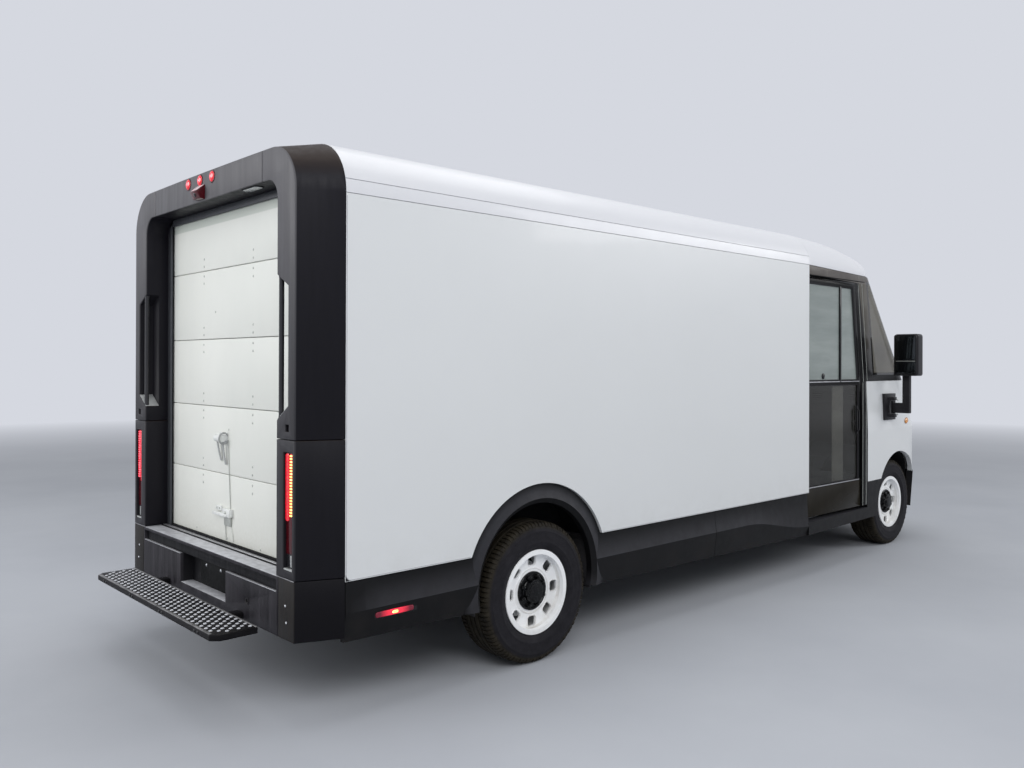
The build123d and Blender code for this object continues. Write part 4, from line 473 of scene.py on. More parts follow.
def door_finish():
    """Black frame over a brown-black gloss lower panel."""
    look = Surface("side_door_gloss")
    streak = look.noise(2.5, 5, 0.6, (1, 1, 0.4))
    rails = look.blend(look.spread(streak), (6, 6, 7), (15, 15, 16))
    panel = look.blend(look.spread(streak), (30, 27, 22), (44, 40, 33))
    base = look.mix(look.fall(look.height(), 0.668, 0.674), rails, panel)
    return look.finish(base, look.spread(streak, 0.14, 0.28), [(look.noise(300, 3), 0.00005)],
                       {SHINE: 0.07})


def door_pane_finish():
    """Pale green-grey pane above the middle rail and a darker one below it."""
    look = Surface("side_door_panes")
    streak = look.noise(1.5, 5, 0.6, (1, 1, 6))
    lower = look.fall(look.height(), MIDRAIL_Z - 0.01, MIDRAIL_Z + 0.01)
    upper_tint = look.blend(look.spread(streak), (150, 160, 157), (166, 175, 171))
    solid = look.maths("SUBTRACT", look.spread(streak, 0.6, 0.68), look.multiply(lower, 0.22))
    return look.finish(look.blend(lower, upper_tint, (50, 49, 45)), look.spread(streak, 0.02, 0.06),
                       [(look.noise(3, 2), 0.0004, 0.3)], alpha=solid)


def screen_finish():
    """Tinted windscreen and quarter windows with black printed borders."""
    look = Surface("cab_glass_tint")
    height = look.height()
    streak = look.noise(1.6, 5, 0.6, (1, 1, 4))
    sideways = look.maths("ABSOLUTE", look.toward((0, 1, 0)), 0)
    front = look.blend(look.spread(streak), (58, 64, 62), (72, 78, 76))
    quarter = look.blend(look.spread(streak), (104, 99, 86), (122, 117, 103))
    tint = look.mix(look.rise(sideways, 0.85, 0.93), front, quarter)
    lean = look.maths("ADD", look.along("X"), look.multiply(height, 0.022))
    border = look.larger(look.fall(height, 1.572, 1.58), look.rise(height, 2.352, 2.36))
    border = look.larger(border, look.fall(lean, 2.25, 2.256))
    return look.finish(look.blend(border, tint, (12, 12, 13)), look.spread(streak, 0.02, 0.07),
                       [(look.noise(3, 2), 0.0004, 0.3)],
                       alpha=look.larger(look.spread(streak, 0.5, 0.6), border))


def tyre_finish():
    """Dark wall with brownish, dusty tread and shoulders."""
    look = Surface("tyre_wall_and_tread")
    cloud = look.noise(16, 7, 0.65)
    fine = look.noise(120, 5, 0.6)
    flat = look.vector("MULTIPLY", look.place, (1, 0, 1))
    radius = look.maths("SQRT", look.vector("DOT_PRODUCT", flat, flat), 0)
    wall = look.blend(look.spread(cloud), (25, 24, 28), (38, 37, 41))
    tread = look.blend(look.spread(cloud), (23, 21, 18), (52, 47, 38))
    rings = look.maths("SINE", look.multiply(radius, 1400), 0)
    return look.finish(look.mix(look.rise(radius, 0.345, 0.362), wall, tread),
                       look.spread(fine, 0.52, 0.74), [(fine, 0.0005), (rings, 0.00025, 0.6)],
                       {SHINE: DARK_SHINE})


def hub_finish():
    look = Surface("hub_cover_black")
    cloud = look.noise(40, 6, 0.6)
    more = {SHINE: DARK_SHINE, "Coat Weight": 0.3, "Coat Roughness": 0.12}
    return look.finish(look.blend(look.spread(cloud), (5, 5, 6), (14, 14, 16)),
                       look.spread(cloud, 0.18, 0.36), [(look.noise(240, 4), 0.0004)], more)


def seat_finish():
    """Woven cloth with a fine crossed weave and slight wear."""
    look = Surface("seat_weave")
    weft = look.noise(1, 2, 0.5, (900, 120, 900))
    warp = look.noise(1, 2, 0.5, (120, 900, 120))
    base = look.blend(look.spread(look.noise(10, 6, 0.6)), (38, 39, 42), (56, 57, 60))
    base = look.blend(look.spread(weft, 0, 0.5), base, (74, 75, 78))
    return look.finish(base, look.spread(warp, 0.82, 0.96), [(weft, 0.0004), (warp, 0.0004)])


HOOP, BUMPER, ROLLER_WHITE = hoop_finish(), bumper_finish(), roller_door_finish()
SKIRT_BAND, MARKER, SEAT_CLOTH = skirt_finish(), marker_finish(), seat_finish()
CAB_SIDE, SIDE_DOOR = cab_side_finish(), door_finish()
DOOR_PANE, SCREEN = door_pane_finish(), screen_finish()
TYRE_FINISH, HUB_FINISH = tyre_finish(), hub_finish()


# ---- mesh helpers
SMOOTH = 35     # degrees; a piece is shaded smooth across its flatter edges
PLACE = {
    "x": lambda t, a, b: (t, a, b),
    "y": lambda t, a, b: (a, t, b),
    "z": lambda t, a, b: (a, b, t),
}


def round_outline(centre, size, radius, steps=4):
    """Rounded rectangle as a list of points."""
    (a, b), (width, height) = centre, size
    radius = min(radius, width / 2 - 1e-6, height / 2 - 1e-6)
    points = []
    for quarter, (sa, sb) in enumerate(((1, 1), (-1, 1), (-1, -1), (1, -1))):
        ca, cb = a + sa * (width / 2 - radius), b + sb * (height / 2 - radius)
        for step in range(steps + 1):
            angle = (quarter + step / steps) * math.pi / 2
            points.append((ca + radius * math.cos(angle), cb + radius * math.sin(angle)))
    return points


def bevel_sharp(bm, width, segments=2, angle=30, clamp=True):
    """Rounds the edges of a mesh that are sharper than an angle."""
    limit = math.radians(angle)
    edges = [edge for edge in bm.edges if edge.is_manifold and edge.calc_face_angle(0) > limit]
    bmesh.ops.bevel(bm, geom=edges, offset=width, offset_type="OFFSET", segments=segments,
                    profile=0.5, affect="EDGES", clamp_overlap=clamp)


def skin(part, rings, loop, closed):
    """Faces between neighbouring rings; the row of rings and each ring may close on themselves."""
    count, points = len(rings), len(rings[0])
    for i in range(count if loop else count - 1):
        first, second = rings[i], rings[(i + 1) % count]
        for j in range(points if closed else points - 1):
            k = (j + 1) % points
            part.faces.new((first[j], first[k], second[k], second[j]))


def turned_to(centre, normal):
    """Matrix that stands a shape drawn along Y on a point, along a normal."""
    turn = Vector((0, 1, 0)).rotation_difference(Vector(normal)).to_matrix().to_4x4()
    return Matrix.Translation(centre) @ turn


class Form:
    """Mesh gathered from several shapes, which becomes one piece."""

    def __init__(self):
        self.bm = bmesh.new()

    def add(self, part, matrix=None):
        """Takes up a shape, with its faces turned outward."""
        if matrix is not None:
            bmesh.ops.transform(part, matrix=matrix, verts=part.verts)
        bmesh.ops.recalc_face_normals(part, faces=part.faces)
        scratch = bpy.data.meshes.new("scratch")
        part.to_mesh(scratch)
        part.free()
        self.bm.from_mesh(scratch)
        bpy.data.meshes.remove(scratch)
        return self

    def prism(self, outline, low, high, axis="x", bevel=0, segments=2, matrix=None):
        """Outline drawn out from low to high along an axis."""
        part = bmesh.new()
        rings = [[part.verts.new(PLACE[axis](t, a, b)) for a, b in outline] for t in (low, high)]
        for ring in rings:
            part.faces.new(ring)
        skin(part, rings, False, True)
        bmesh.ops.recalc_face_normals(part, faces=part.faces)
        if bevel:
            bevel_sharp(part, bevel, segments)
        return self.add(part, matrix)

    def box(self, x, y, z, bevel=0, segments=2, matrix=None):
        outline = [(y[0], z[0]), (y[1], z[0]), (y[1], z[1]), (y[0], z[1])]
        return self.prism(outline, *x, "x", bevel, segments, matrix)

    def pill(self, centre, size, radius, steps, span, bevel, segments=2, axis="x"):
        """Rounded rectangle drawn out along an axis."""
        return self.prism(round_outline(centre, size, radius, steps), *span, axis, bevel, segments)

    def lathe(self, profile, axis="y", segments=48, closed=False, matrix=None):
        """Profile of (along, radius) points turned round an axis through the origin."""
        part = bmesh.new()
        rings = [[part.verts.new(PLACE[axis](t, r * math.cos(angle), r * math.sin(angle)))
                  for t, r in profile] for angle in ring_angles(segments)]
        skin(part, rings, True, closed)
        bmesh.ops.remove_doubles(part, verts=part.verts, dist=1e-6)
        bmesh.ops.dissolve_degenerate(part, dist=1e-7, edges=part.edges)
        return self.add(part, matrix)

    def tube(self, points, radius, sides=10, closed=False):
        """Round bar along a line of points."""
        part = bmesh.new()
        points = [Vector(point) for point in points]
        last = len(points) - 1
        rings = []
        side = None
        for i, point in enumerate(points):
            if closed:
                ahead = points[(i + 1) % len(points)] - points[i - 1]
            else:
                ahead = points[min(i + 1, last)] - points[max(i - 1, 0)]
            ahead.normalize()
            if side is None:
                side = ahead.orthogonal().normalized()
            side = (side - ahead * side.dot(ahead)).normalized()
            other = ahead.cross(side)
            spokes = [side * math.cos(a) + other * math.sin(a) for a in ring_angles(sides)]
            rings.append([part.verts.new(point + radius * spoke) for spoke in spokes])
        skin(part, rings, closed, True)
        if not closed:
            part.faces.new(rings[0])
            part.faces.new(rings[-1])
        return self.add(part)

    def dome(self, centre, normal, radius, height, sides=12):
        """Low rounded button standing on a surface."""
        profile = [(-0.3 * height, 0), (-0.3 * height, radius), (0, radius),
                   (0.5 * height, 0.86 * radius), (0.86 * height, 0.5 * radius), (height, 0)]
        return self.lathe(profile, "y", sides, matrix=turned_to(centre, normal))

    def bolt(self, centre, normal, radius, height, corner=0):
        """Hexagonal head with a chamfered top."""
        profile = [(0, 0), (0, radius), (0.75 * height, radius), (height, 0.78 * radius),
                   (height, 0)]
        spin = Matrix.Rotation(corner, 4, "Y")
        return self.lathe(profile, "y", 6, matrix=turned_to(centre, normal) @ spin)

    def mesh(self, name):
        mesh = bpy.data.meshes.new(name)
        self.bm.to_mesh(mesh)
        self.bm.free()
        return mesh

    def piece(self, name, material, slot, body="body", replaces=()):
        """Turns the form into an object that rides on a body."""
        return settle(name, self.mesh(name), material, body, SMOOTH, replaces)


def settle(name, mesh, material, body, smooth, replaces=(), place=None):
    """Object with its finish, on the body that carries it."""
    mesh.materials.clear()
    mesh.materials.append(material)
    mesh.shade_smooth()
    mesh.set_sharp_from_angle(angle=math.radians(smooth))
    piece = bpy.data.objects.new(name, mesh)
    bpy.context.scene.collection.objects.link(piece)
    if place is not None:
        piece.matrix_world = place
    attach(piece, body)
    if replaces:
        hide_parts(*replaces)
    return piece


def soften(node, width, material, segments=2, tidy=0.4):
    """Copy of a CAD node with its sharp edges rounded, which stands for the node."""
    source = cad_nodes[node]
    form = Form()
    bm = form.bm
    bm.from_mesh(source.data)
    bmesh.ops.remove_doubles(bm, verts=bm.verts, dist=2e-6)
    bmesh.ops.dissolve_limit(bm, angle_limit=math.radians(tidy), verts=bm.verts, edges=bm.edges)
    bevel_sharp(bm, width, segments, 32, clamp=False)
    name = node + "_shell"
    settle(name, form.mesh(name), material, source["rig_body"], 30, (node,))


# ---- CAD nodes that keep their shape
finishes = {
    STEEL: ("chassis_frame", "rear_axle", "front_suspension", "knuckle_right", "knuckle_left"),
    ALUMINIUM: ("battery_pack",), FLOOR_GREY: ("cargo_floor", "cab_floor"),
    DARK: ("rear_wheel_tubs", "front_wheel_tubs"), ROOF_WHITE: ("cargo_roof", "cab_roof"),
    WHITE: ("side_wall_right", "side_wall_left", "front_fenders", "nose_panel"),
    LINER: ("bulkhead", "bulkhead_door"), HOOP: ("rear_portal", "rear_pillars"),
    RED: ("tail_lamps",), BUMPER: ("rear_bumper",), STEP: ("rear_step",),
    ROLLER_WHITE: ("roller_door",), SKIRT_BAND: ("side_skirt_right", "side_skirt_left"),
    GLOSS: ("grab_handles", "cab_side_right", "cab_side_left", "side_door_right",
            "side_door_left", "mirror_right", "mirror_left"),
    SCREEN: ("cab_glass",), CLEAR: ("headlamps",), TRIM: ("dashboard",),
    BLACK: ("front_bumper", "mirror_mounts", "steering_wheel"), SEAT_CLOTH: ("driver_seat",),
    DOOR_PANE: ("door_glass_right", "door_glass_left"),
    WHEEL: [f"{end}_wheel_{side}" for end, side in WHEELS],
    RUBBER: [f"{end}_tyre_{side}" for end, side in WHEELS],
}
for finish, nodes in finishes.items():
    for node in nodes:
        cad_nodes[node].material_slots[0].material = finish

soften("rear_portal", 0.003, HOOP, tidy=0.1)
soften("rear_pillars", 0.0025, HOOP, tidy=0.1)


# ---- rear hoop
def highlight_lines():
    """Pale strips standing for painted highlights on the ledges where the hoop, the pillars and the
    bumper's corners meet.
    """
    form = Form()
    # pale strips standing for painted highlights on the ledges
    for y in both_y(0.815, 0.97):
        form.box(hoop_x(-0.0006, 0.004), y, sill_z(0.0002, 0.0028), 0.0008)
    for y in both_y(0.285, 0.808):
        form.box(hoop_x(-0.001, 0.012), y, (0.5985, 0.6035), 0.0015)
    form.piece("ledge_highlight_lines", EDGE, "step_metal")


def clearance_lamps():
    """Three round red lamps in the top beam, each with a white-hot core."""
    lenses, cores, bezels = Form(), Form(), Form()
    bezel = [(-0.004, 0), (-0.004, 0.033), (0.002, 0.033), (0.0035, 0.031), (0.0035, 0)]
    for y in (0.19, 0.04, -0.11):
        centre = Vector((PORTAL_BACK, y, 2.607))
        turn = Matrix.Translation(centre) @ Matrix.Rotation(math.pi / 2, 4, "Z")
        bezels.lathe(bezel, "y", 32, matrix=turn)
        lenses.dome(centre - Vector((0.003, 0, 0)), BACK, 0.028, 0.008, 28)
        cores.dome(centre - Vector((0.0085, 0, 0)), BACK, 0.01, 0.004, 20)
    bezels.piece("clearance_lamp_bezels", RED_DARK, "red_lens")
    lenses.piece("clearance_lamp_lenses", RED, "red_lens")
    cores.piece("clearance_lamp_cores", RED_SPARK, "red_lens")


def camera_pod():
    """Wedge under the lamps with a pale slanted face and a small lens looking down."""
    profile = [(PORTAL_BACK + x, z)
               for x, z in ((0.002, 2.582), (-0.045, 2.542), (-0.026, 2.505), (0.002, 2.502))]
    low, high = -0.02, 0.068
    Form().prism(profile, low, high, "y", 0.003, 3).piece("camera_pod", RED_DARK, "black_plastic")
    top, tip, heel = (Vector((x, 0, z)) for x, z in profile[:3])
    lean = (tip - top).normalized()
    start, end = top + lean * 0.006, top + lean * 0.056
    face = [(point.x + shift * lean.z, point.z - shift * lean.x)
            for point, shift in ((start, 0), (end, 0), (end, 0.0025), (start, 0.0025))]
    plate = Form().prism(face, low + 0.004, high - 0.004, "y", 0.001)
    plate.piece("camera_pod_face", POD_FACE, "clear_lens")
    lens = (tip + heel) / 2 + Vector((0, (low + high) / 2, 0))
    Form().dome(lens, (-0.9, 0, -0.5), 0.012, 0.005, 24).piece("camera_lens", GLOSS, "gloss_black")


def beam_lamp():
    """Slim lamp let into the underside of the top beam."""
    centre = (PORTAL_BACK + 0.04, -0.483)
    rim_z = (OPENING_TOP - 0.004, OPENING_TOP + 0.002)
    rim = Form().pill(centre, (0.054, 0.162), 0.022, 8, rim_z, 0.0015, axis="z")
    rim.piece("beam_lamp_rim", BLACK, "black_plastic")
    lens_z = (OPENING_TOP - 0.006, OPENING_TOP)
    lens = Form().pill(centre, (0.042, 0.15), 0.018, 8, lens_z, 0.002, 3, "z")
    lens.piece("beam_lamp_lens", PALE_LAMP, "clear_lens")


highlight_lines()
clearance_lamps()
camera_pod()
beam_lamp()


# ---- roller door
soften("roller_door", 0.004, ROLLER_WHITE, 3)


def roller_door_fittings():
    rivets = Form()
    for seam in DOOR_SEAMS:
        for y in (0.319, -0.281):
            for rise in (-0.068, -0.027, 0.027, 0.068):
                rivets.dome((DOOR_BACK, y, seam + rise), BACK, 0.0065, 0.003)
    for y, z in ((0.404, 0.709), (0.008, 0.703), (-0.371, 0.701), (-0.278, 1.337), (-0.003, 1.287),
                 (0.168, 1.925)):
        rivets.dome((DOOR_BACK, y, z), BACK, 0.006, 0.003)
    rivets.piece("roller_door_rivets", RIVET, "door_white")

    knob = [(0.02, 0), (0.02, 0.019), (0.024, 0.022), (0.094, 0.022), (0.1, 0.017), (0.1, 0)]
    pull_x, pull_z, strap_top = DOOR_BACK - 0.022, 1.24, 1.228
    boss = Form().lathe(knob, "y", 28, matrix=Matrix.Translation((pull_x, 0, pull_z)))
    boss.box(door_x(-0.022, 0.001), (0.034, 0.086), (1.226, 1.254), 0.004)
    boss.box(door_x(-0.004, 0.001), (0.012, 0.104), (1.208, 1.27), 0.002)
    boss.piece("pull_boss", BOSS, "door_white")

    loop = [(pull_x + 0.026 * math.cos(a), 0.012, pull_z + 0.03 * math.sin(a))
            for a in ring_angles(28)]
    ring = Form().tube(loop, 0.0045, 8, closed=True)
    for start, reach, end in ((0.094, 0.07, 1.118), (0.03, 0.016, 1.1)):
        line = [(DOOR_BACK - 0.02 + 0.013 * t, start + (reach - start) * t * t,
                 strap_top + (end - strap_top) * t) for t in (k / 12 for k in range(13))]
        for low, high in zip(line, line[1:]):
            ring.box((low[0] - 0.0015, low[0] + 0.0015), (low[1] - 0.008, low[1] + 0.008),
                     (high[2] - 0.001, low[2] + 0.001))
    ring.piece("pull_straps", STRAP, "interior_grey")

    latch = Form().box(door_x(-0.024, 0.001), (-0.058, 0.03), (0.822, 0.866), 0.005)
    latch.box(door_x(-0.03, -0.006), (-0.03, 0.14), (0.822, 0.84), 0.005)
    latch.box(door_x(-0.012, 0.001), (0.064, 0.128), (0.846, 0.872), 0.003)
    latch.piece("door_latch", BOSS, "door_white")
    plate = Form().box(door_x(-0.01, 0.001), (-0.046, 0.032), (0.772, 0.822), 0.003)
    for y in (0.08, 0.112):
        plate.bolt((DOOR_BACK - 0.012, y, 0.859), BACK, 0.006, 0.003)
    plate.dome((DOOR_BACK - 0.024, -0.014, 0.844), BACK, 0.012, 0.005, 20)
    plate.piece("door_latch_keep", RIVET, "step_metal")
    rods = Form()
    for line in (((-0.004, 1.232), (-0.018, 1.05), (-0.034, 0.866)),
                 ((-0.042, 0.772), (-0.072, 0.695)), ((0.026, 0.772), (0.016, 0.695))):
        rods.tube([(DOOR_BACK - 0.004, y, z) for y, z in line], 0.0022, 8)
    rods.piece("latch_rods", RIVET, "step_metal")


def door_surround():
    """Guides beside the roller door, the seal at its foot and the metal sill."""
    guides = Form()
    for y in both_y(0.742, 0.8105):
        guides.box(door_x(-0.012, -0.004), y, (SILL_Z + 0.002, OPENING_TOP - 0.001), 0.001)
    for y in both_y(0.742, 0.75):
        guides.box(door_x(-0.02, -0.004), y, (SILL_Z + 0.002, OPENING_TOP - 0.03), 0.002)
    guides.box(door_x(-0.012, -0.004), (-0.8, 0.8), (2.455, OPENING_TOP - 0.001), 0.001)
    guides.piece("door_guides", GUIDE, "gloss_black")
    seal = Form().box(door_x(-0.012, 0), (-0.74, 0.74), sill_z(0.0025, 0.017), 0.004)
    seal.box(door_x(-0.052, -0.038), (-OPENING, OPENING), sill_z(0.0005, 0.0035), 0.001)
    seal.piece("door_seal", DARK, "tyre_rubber")
    rail = Form().box(door_x(-0.036, -0.018), (-OPENING, OPENING), sill_z(0.0005, 0.005), 0.0015)
    rail.piece("sill_rail", EDGE, "step_metal")
    plate = Form().box((PORTAL_BACK + 0.001, DOOR_BACK - 0.003),
                       (-OPENING + 0.001, OPENING - 0.001), sill_z(-0.001, 0.0015), 0.001)
    plate.piece("sill_plate", SILL, "step_metal")


def grab_bars():
    bars, floors = Form(), Form()
    bar = [(1.39, 0), (1.39, 0.0135), (1.405, 0.012), (2.03, 0.012), (2.043, 0.0135), (2.043, 0)]
    for y in (0.828, -0.828):
        bars.lathe(bar, "z", 28, matrix=Matrix.Translation((PORTAL_BACK + 0.014, y, 0)))
    bars.piece("grab_bar_shells", BAR, "bar_metal", replaces=("grab_handles",))
    # painted light: pale plates on the floors of the grab-bar recesses stand for light falling on
    # them
    ramp = ((0.8125, 1.3875), (0.9125, 1.4506), (0.9125, 1.453), (0.8125, 1.3899))
    for sign in (1, -1):
        outline = [(sign * y, z) for y, z in ramp]
        floors.prism(outline, *hoop_x(0.003, 0.079), "x", 0.0008)
    floors.piece("recess_floor_highlights", PALE_LAMP, "clear_lens")


roller_door_fittings()
door_surround()
grab_bars()


# ---- tail lamps
def tail_lamps():
    """Each lamp has a plain red column, a column of bright points and a dark lower lens."""
    dark, red, pale, black = Form(), Form(), Form(), Form()
    for name, sign, glow in (("left", 1, RED_SPARK), ("right", -1, SPARK)):
        full = side_y(sign, *LAMP_Y)
        dark.box(hoop_x(0.014, 0.036), full, (0.785, 1.2405), 0.003)
        red.pill((sign * 0.8935, 1.085), (0.034, 0.304), 0.014, 6, hoop_x(0.009, 0.016), 0.002)
        red.pill((sign * 0.9315, 1.097), (0.036, 0.281), 0.012, 6, hoop_x(0.012, 0.016), 0.001)
        points = Form()
        for k in range(LED_COUNT):
            centre = (sign * 0.9305, LED_TOP - LED_PITCH * k)
            points.pill(centre, (0.026, 0.0072), 0.0034, 4, hoop_x(0.008, 0.014), 0.001)
        points.piece(f"tail_lamp_points_{name}", glow, "red_lens")
        black.box(hoop_x(0.016, 0.036), full, (0.7125, 0.785), 0.002)
        pale.box(hoop_x(0.013, 0.018), side_y(sign, 0.918, 0.928), (0.728, 0.78), 0.001)
        pale.box(hoop_x(0.002, 0.018), full, (0.7125, 0.7215), 0.002)
    dark.piece("tail_lamp_bodies", RED_DARK, "red_lens", replaces=("tail_lamps",))
    red.piece("tail_lamp_lenses", RED, "red_lens")
    black.piece("tail_lamp_bases", GLOSS, "gloss_black")
    pale.piece("tail_lamp_ledges", PALE_LAMP, "clear_lens")


tail_lamps()


# ---- rear bumper and step
soften("rear_bumper", 0.003, BUMPER, tidy=0.1)


def bumper_fittings():
    plate = Form().box(hoop_x(0.064, 0.068), (-0.16, 0.16), (0.452, 0.58), 0.0015)
    plate.piece("blank_plate", PLATE, "gloss_black")
    pins = Form()
    for y in (-0.089, 0.089):
        pins.dome((PORTAL_BACK + 0.064, y, 0.56), BACK, 0.0085, 0.004, 16)
    for sign in (1, -1):
        for y, z in ((0.897, 0.553), (0.906, 0.479)):
            pins.dome((PORTAL_BACK, sign * y, z), BACK, 0.006, 0.003)
    pins.piece("bumper_pins", STUD, "step_metal")
    floor_plate = Form().box(hoop_x(0.003, 0.068), (-0.277, 0.277), (0.4445, 0.4475), 0.001)
    floor_plate.piece("plate_recess_floor", SILL, "step_metal")
    ring = [(0, 0.0092), (-0.0015, 0.015), (0.0035, 0.0165), (0.0035, 0.0092)]
    socket = Form().lathe(ring, "x", 24, closed=True,
                          matrix=Matrix.Translation((PORTAL_BACK - 0.0015, -0.52, 0.5)))
    socket.piece("tow_socket_ring", STEEL, "frame_steel")


def spaced(count, limit):
    """Evenly spaced places across the step that lie within a limit of its middle."""
    places = [(k - (count - 1) / 2) * STUD_PITCH for k in range(count)]
    return [y for y in places if abs(y) <= limit]


def rear_step():
    """Grating of dimpled studs in a worn frame, on two brackets."""
    (low, high), half, (foot, top) = STEP_X, STEP_HALF, STEP_Z
    outline = [(low, -half + STEP_CORNER), (low + STEP_CORNER, -half), (high, -half), (high, half),
               (low + STEP_CORNER, half), (low, half - STEP_CORNER)]
    base = Form().prism(outline, foot, top - 0.004, "z", 0.004, 3)
    for y in both_y(0.42, 0.48):
        base.box((low + 0.05, PORTAL_BACK + 0.004), y, (foot - 0.012, top - 0.012), 0.005)
    base.piece("step_frame", STEP, "step_metal", replaces=("rear_step",))
    wear_and_highlight = Form()
    lip = (top - 0.006, top - 0.001)
    reach = half - STEP_CORNER - 0.004
    wear_and_highlight.box((low + 0.0015, low + 0.016), (-reach, reach), lip, 0.002, 3)
    wear_and_highlight.box((high - 0.01, high - 0.001), (-half + 0.004, half - 0.004), lip, 0.002, 3)
    wear_and_highlight.piece("step_worn_edges", WORN, "step_metal")
    studs, holes = Form(), Form()
    stud = [(-0.001, 0), (-0.001, 0.0098), (0.0008, 0.0095), (0.0032, 0.007), (0.0032, 0.0045),
            (0.0015, 0.003), (0.0015, 0)]
    for row in range(ROWS):
        x = low + 0.03 + ROW_PITCH * row
        edge = half - 0.045 if row == 0 else half
        for y in spaced(31 - row % 2, edge):
            studs.lathe(stud, "z", 12, matrix=Matrix.Translation((x, y, top - 0.004)))
        for y in spaced(30 + row % 2, half - 0.03):
            holes.dome((x, y, top - 0.0042), UP, 0.0085, 0.0004, 10)
    studs.piece("step_studs", STUD, "step_metal")
    holes.piece("step_openings", DARK, "black_plastic")
    bolts = Form()
    for y in (-0.62, -0.585, -0.2, -0.165, 0.2, 0.235, 0.6, 0.635):
        bolts.dome((low, y, 0.431), BACK, 0.009, 0.005, 16)
    bolts.piece("step_bolts", HUB, "black_plastic")


bumper_fittings()
rear_step()


# ---- sides of the cargo body
def side_trims():
    """Bright edge of each side panel and the dark corner outside its rounded foot."""
    trim, corner = Form(), Form()
    inset = 0.0022
    x0, z0 = WALL_BACK + WALL_CORNER, WALL_FOOT + WALL_CORNER
    arc = [(x0 - WALL_CORNER * math.cos(a), z0 - WALL_CORNER * math.sin(a))
           for a in (math.pi / 2 * k / 8 for k in range(9))]
    bead = [(WALL_BACK + inset, 2.405), (WALL_BACK + inset, z0)]
    bead += [(x + inset * (x0 - x) / WALL_CORNER, z + inset * (z0 - z) / WALL_CORNER)
             for x, z in arc[1:-1]]
    bead += [(x0, WALL_FOOT + inset), (ARCH.x - 0.505, WALL_FOOT + inset)]
    seam_x = CAB_BACK - 0.002
    foot = [(ARCH.x + 0.505, WALL_FOOT + inset), (seam_x, WALL_FOOT + inset)]
    seam = [(seam_x, WALL_FOOT), (seam_x, 2.414)]
    for sign in (1, -1):
        y = sign * (SIDE_Y - 0.0003)
        for line, radius in ((bead, 0.0016), (foot, 0.0014), (seam, 0.0012)):
            trim.tube([(x, y, z) for x, z in line], radius, 6)
        outline = [(WALL_BACK - 0.001, WALL_FOOT - 0.001), *arc[::-1]]
        corner.prism(outline, *sorted((y, y + sign * 0.001)), "y")
    trim.piece("side_panel_edges", EDGE, "white_paint")
    corner.piece("side_panel_corners", BLACK, "black_plastic")


def side_markers():
    lenses, cores, seats = Form(), Form(), Form()
    (back, front), (foot, top) = MARKER_X, MARKER_Z
    x, z = sum(MARKER_X) / 2, sum(MARKER_Z) / 2
    width, height = front - back, top - foot
    for sign in (1, -1):
        seats.pill((x + 0.008, z), (width + 0.03, height + 0.012), 0.008, 5,
                   side_y(sign, 1.04, 1.0555), 0.001, axis="y")
        lenses.pill((x, z), (width, height), 0.01, 6, side_y(sign, 1.05, 1.0605), 0.004, 3, "y")
        cores.pill((x, z), (0.034, 0.013), 0.0064, 6, side_y(sign, 1.058, 1.062), 0.0015, axis="y")
    seats.piece("side_marker_seats", HUB, "black_plastic")
    lenses.piece("side_marker_lenses", MARKER, "red_lens")
    cores.piece("side_marker_cores", SPARK, "red_lens")


def arch_liners():
    """Mud flap and stiffening ribs inside each rear arch."""
    flaps, ribs = Form(), Form()
    for y in both_y(0.86, 1.02):
        for x in ((-1.5, -1.492), (-2.382, -2.374)):
            flaps.box(x, y, (0.335, 0.64), 0.003)
        for z in ((0.345, 0.362), (0.612, 0.63)):
            ribs.box((-1.508, -1.499), y, z, 0.002)
    flaps.piece("mud_flaps", SKIRT, "tyre_rubber")
    ribs.piece("mud_flap_ribs", BLACK, "black_plastic")


side_trims()
side_markers()
arch_liners()


# ---- side doors
def door_fittings(side, sign):
    """Seals, divider, bright beads and the latch gear of one sliding door."""
    body = f"side_door_{side}"
    bars = Form().box((1.564, 1.586), side_y(sign, 0.992, 1.01), (1.5, 2.289), 0.002)
    bars.box((1.64, 1.83), side_y(sign, 0.98, 0.989), (1.508, 1.578), 0.003)
    bars.dome((1.3, sign * 0.999, 1.552), (0, sign, 0), 0.024, 0.009, 24)
    bars.piece(f"door_divider_{side}", HUB, "black_plastic", body)
    plate = Form().box((1.265, 1.375), side_y(sign, 0.982, 0.9885), (1.506, 1.606), 0.003)
    plate.piece(f"door_latch_plate_{side}", TRIM, "interior_grey", body)
    beads = Form()
    for z in ((1.503, 1.51), (0.672, 0.679)):
        beads.box((1.01, 1.905), side_y(sign, 1.0075, 1.0095), z, 0.0008)
    beads.piece(f"door_beads_{side}", EDGE, "bar_metal", body)
    strip = Form().box((1.475, 1.66), side_y(sign, 0.98, 0.988), (0.69, 1.47), 0.003)
    strip.piece(f"door_trim_strip_{side}", LINER, "interior_grey", body)
    seal = Form()
    for pane in (((1.005, 1.52), (1.876, 1.52), (1.775, 2.287), (1.005, 2.287)),
                 ((1.005, 0.68), (1.879, 0.68), (1.879, 1.48), (1.005, 1.48))):
        seal.tube([(x, sign * 1.0035, z) for x, z in pane], 0.0055, 6, closed=True)
    seal.piece(f"door_pane_seals_{side}", RUBBER, "tyre_rubber", body)
    handle = Form().box((1.85, 1.866), side_y(sign, 1.006, 1.014), (1.06, 1.3), 0.004)
    grip = ((1.012, 1.085), (1.028, 1.1), (1.028, 1.26), (1.012, 1.275))
    handle.tube([(1.858, sign * y, z) for y, z in grip], 0.007)
    handle.piece(f"door_handle_{side}", HUB, "black_plastic", body)


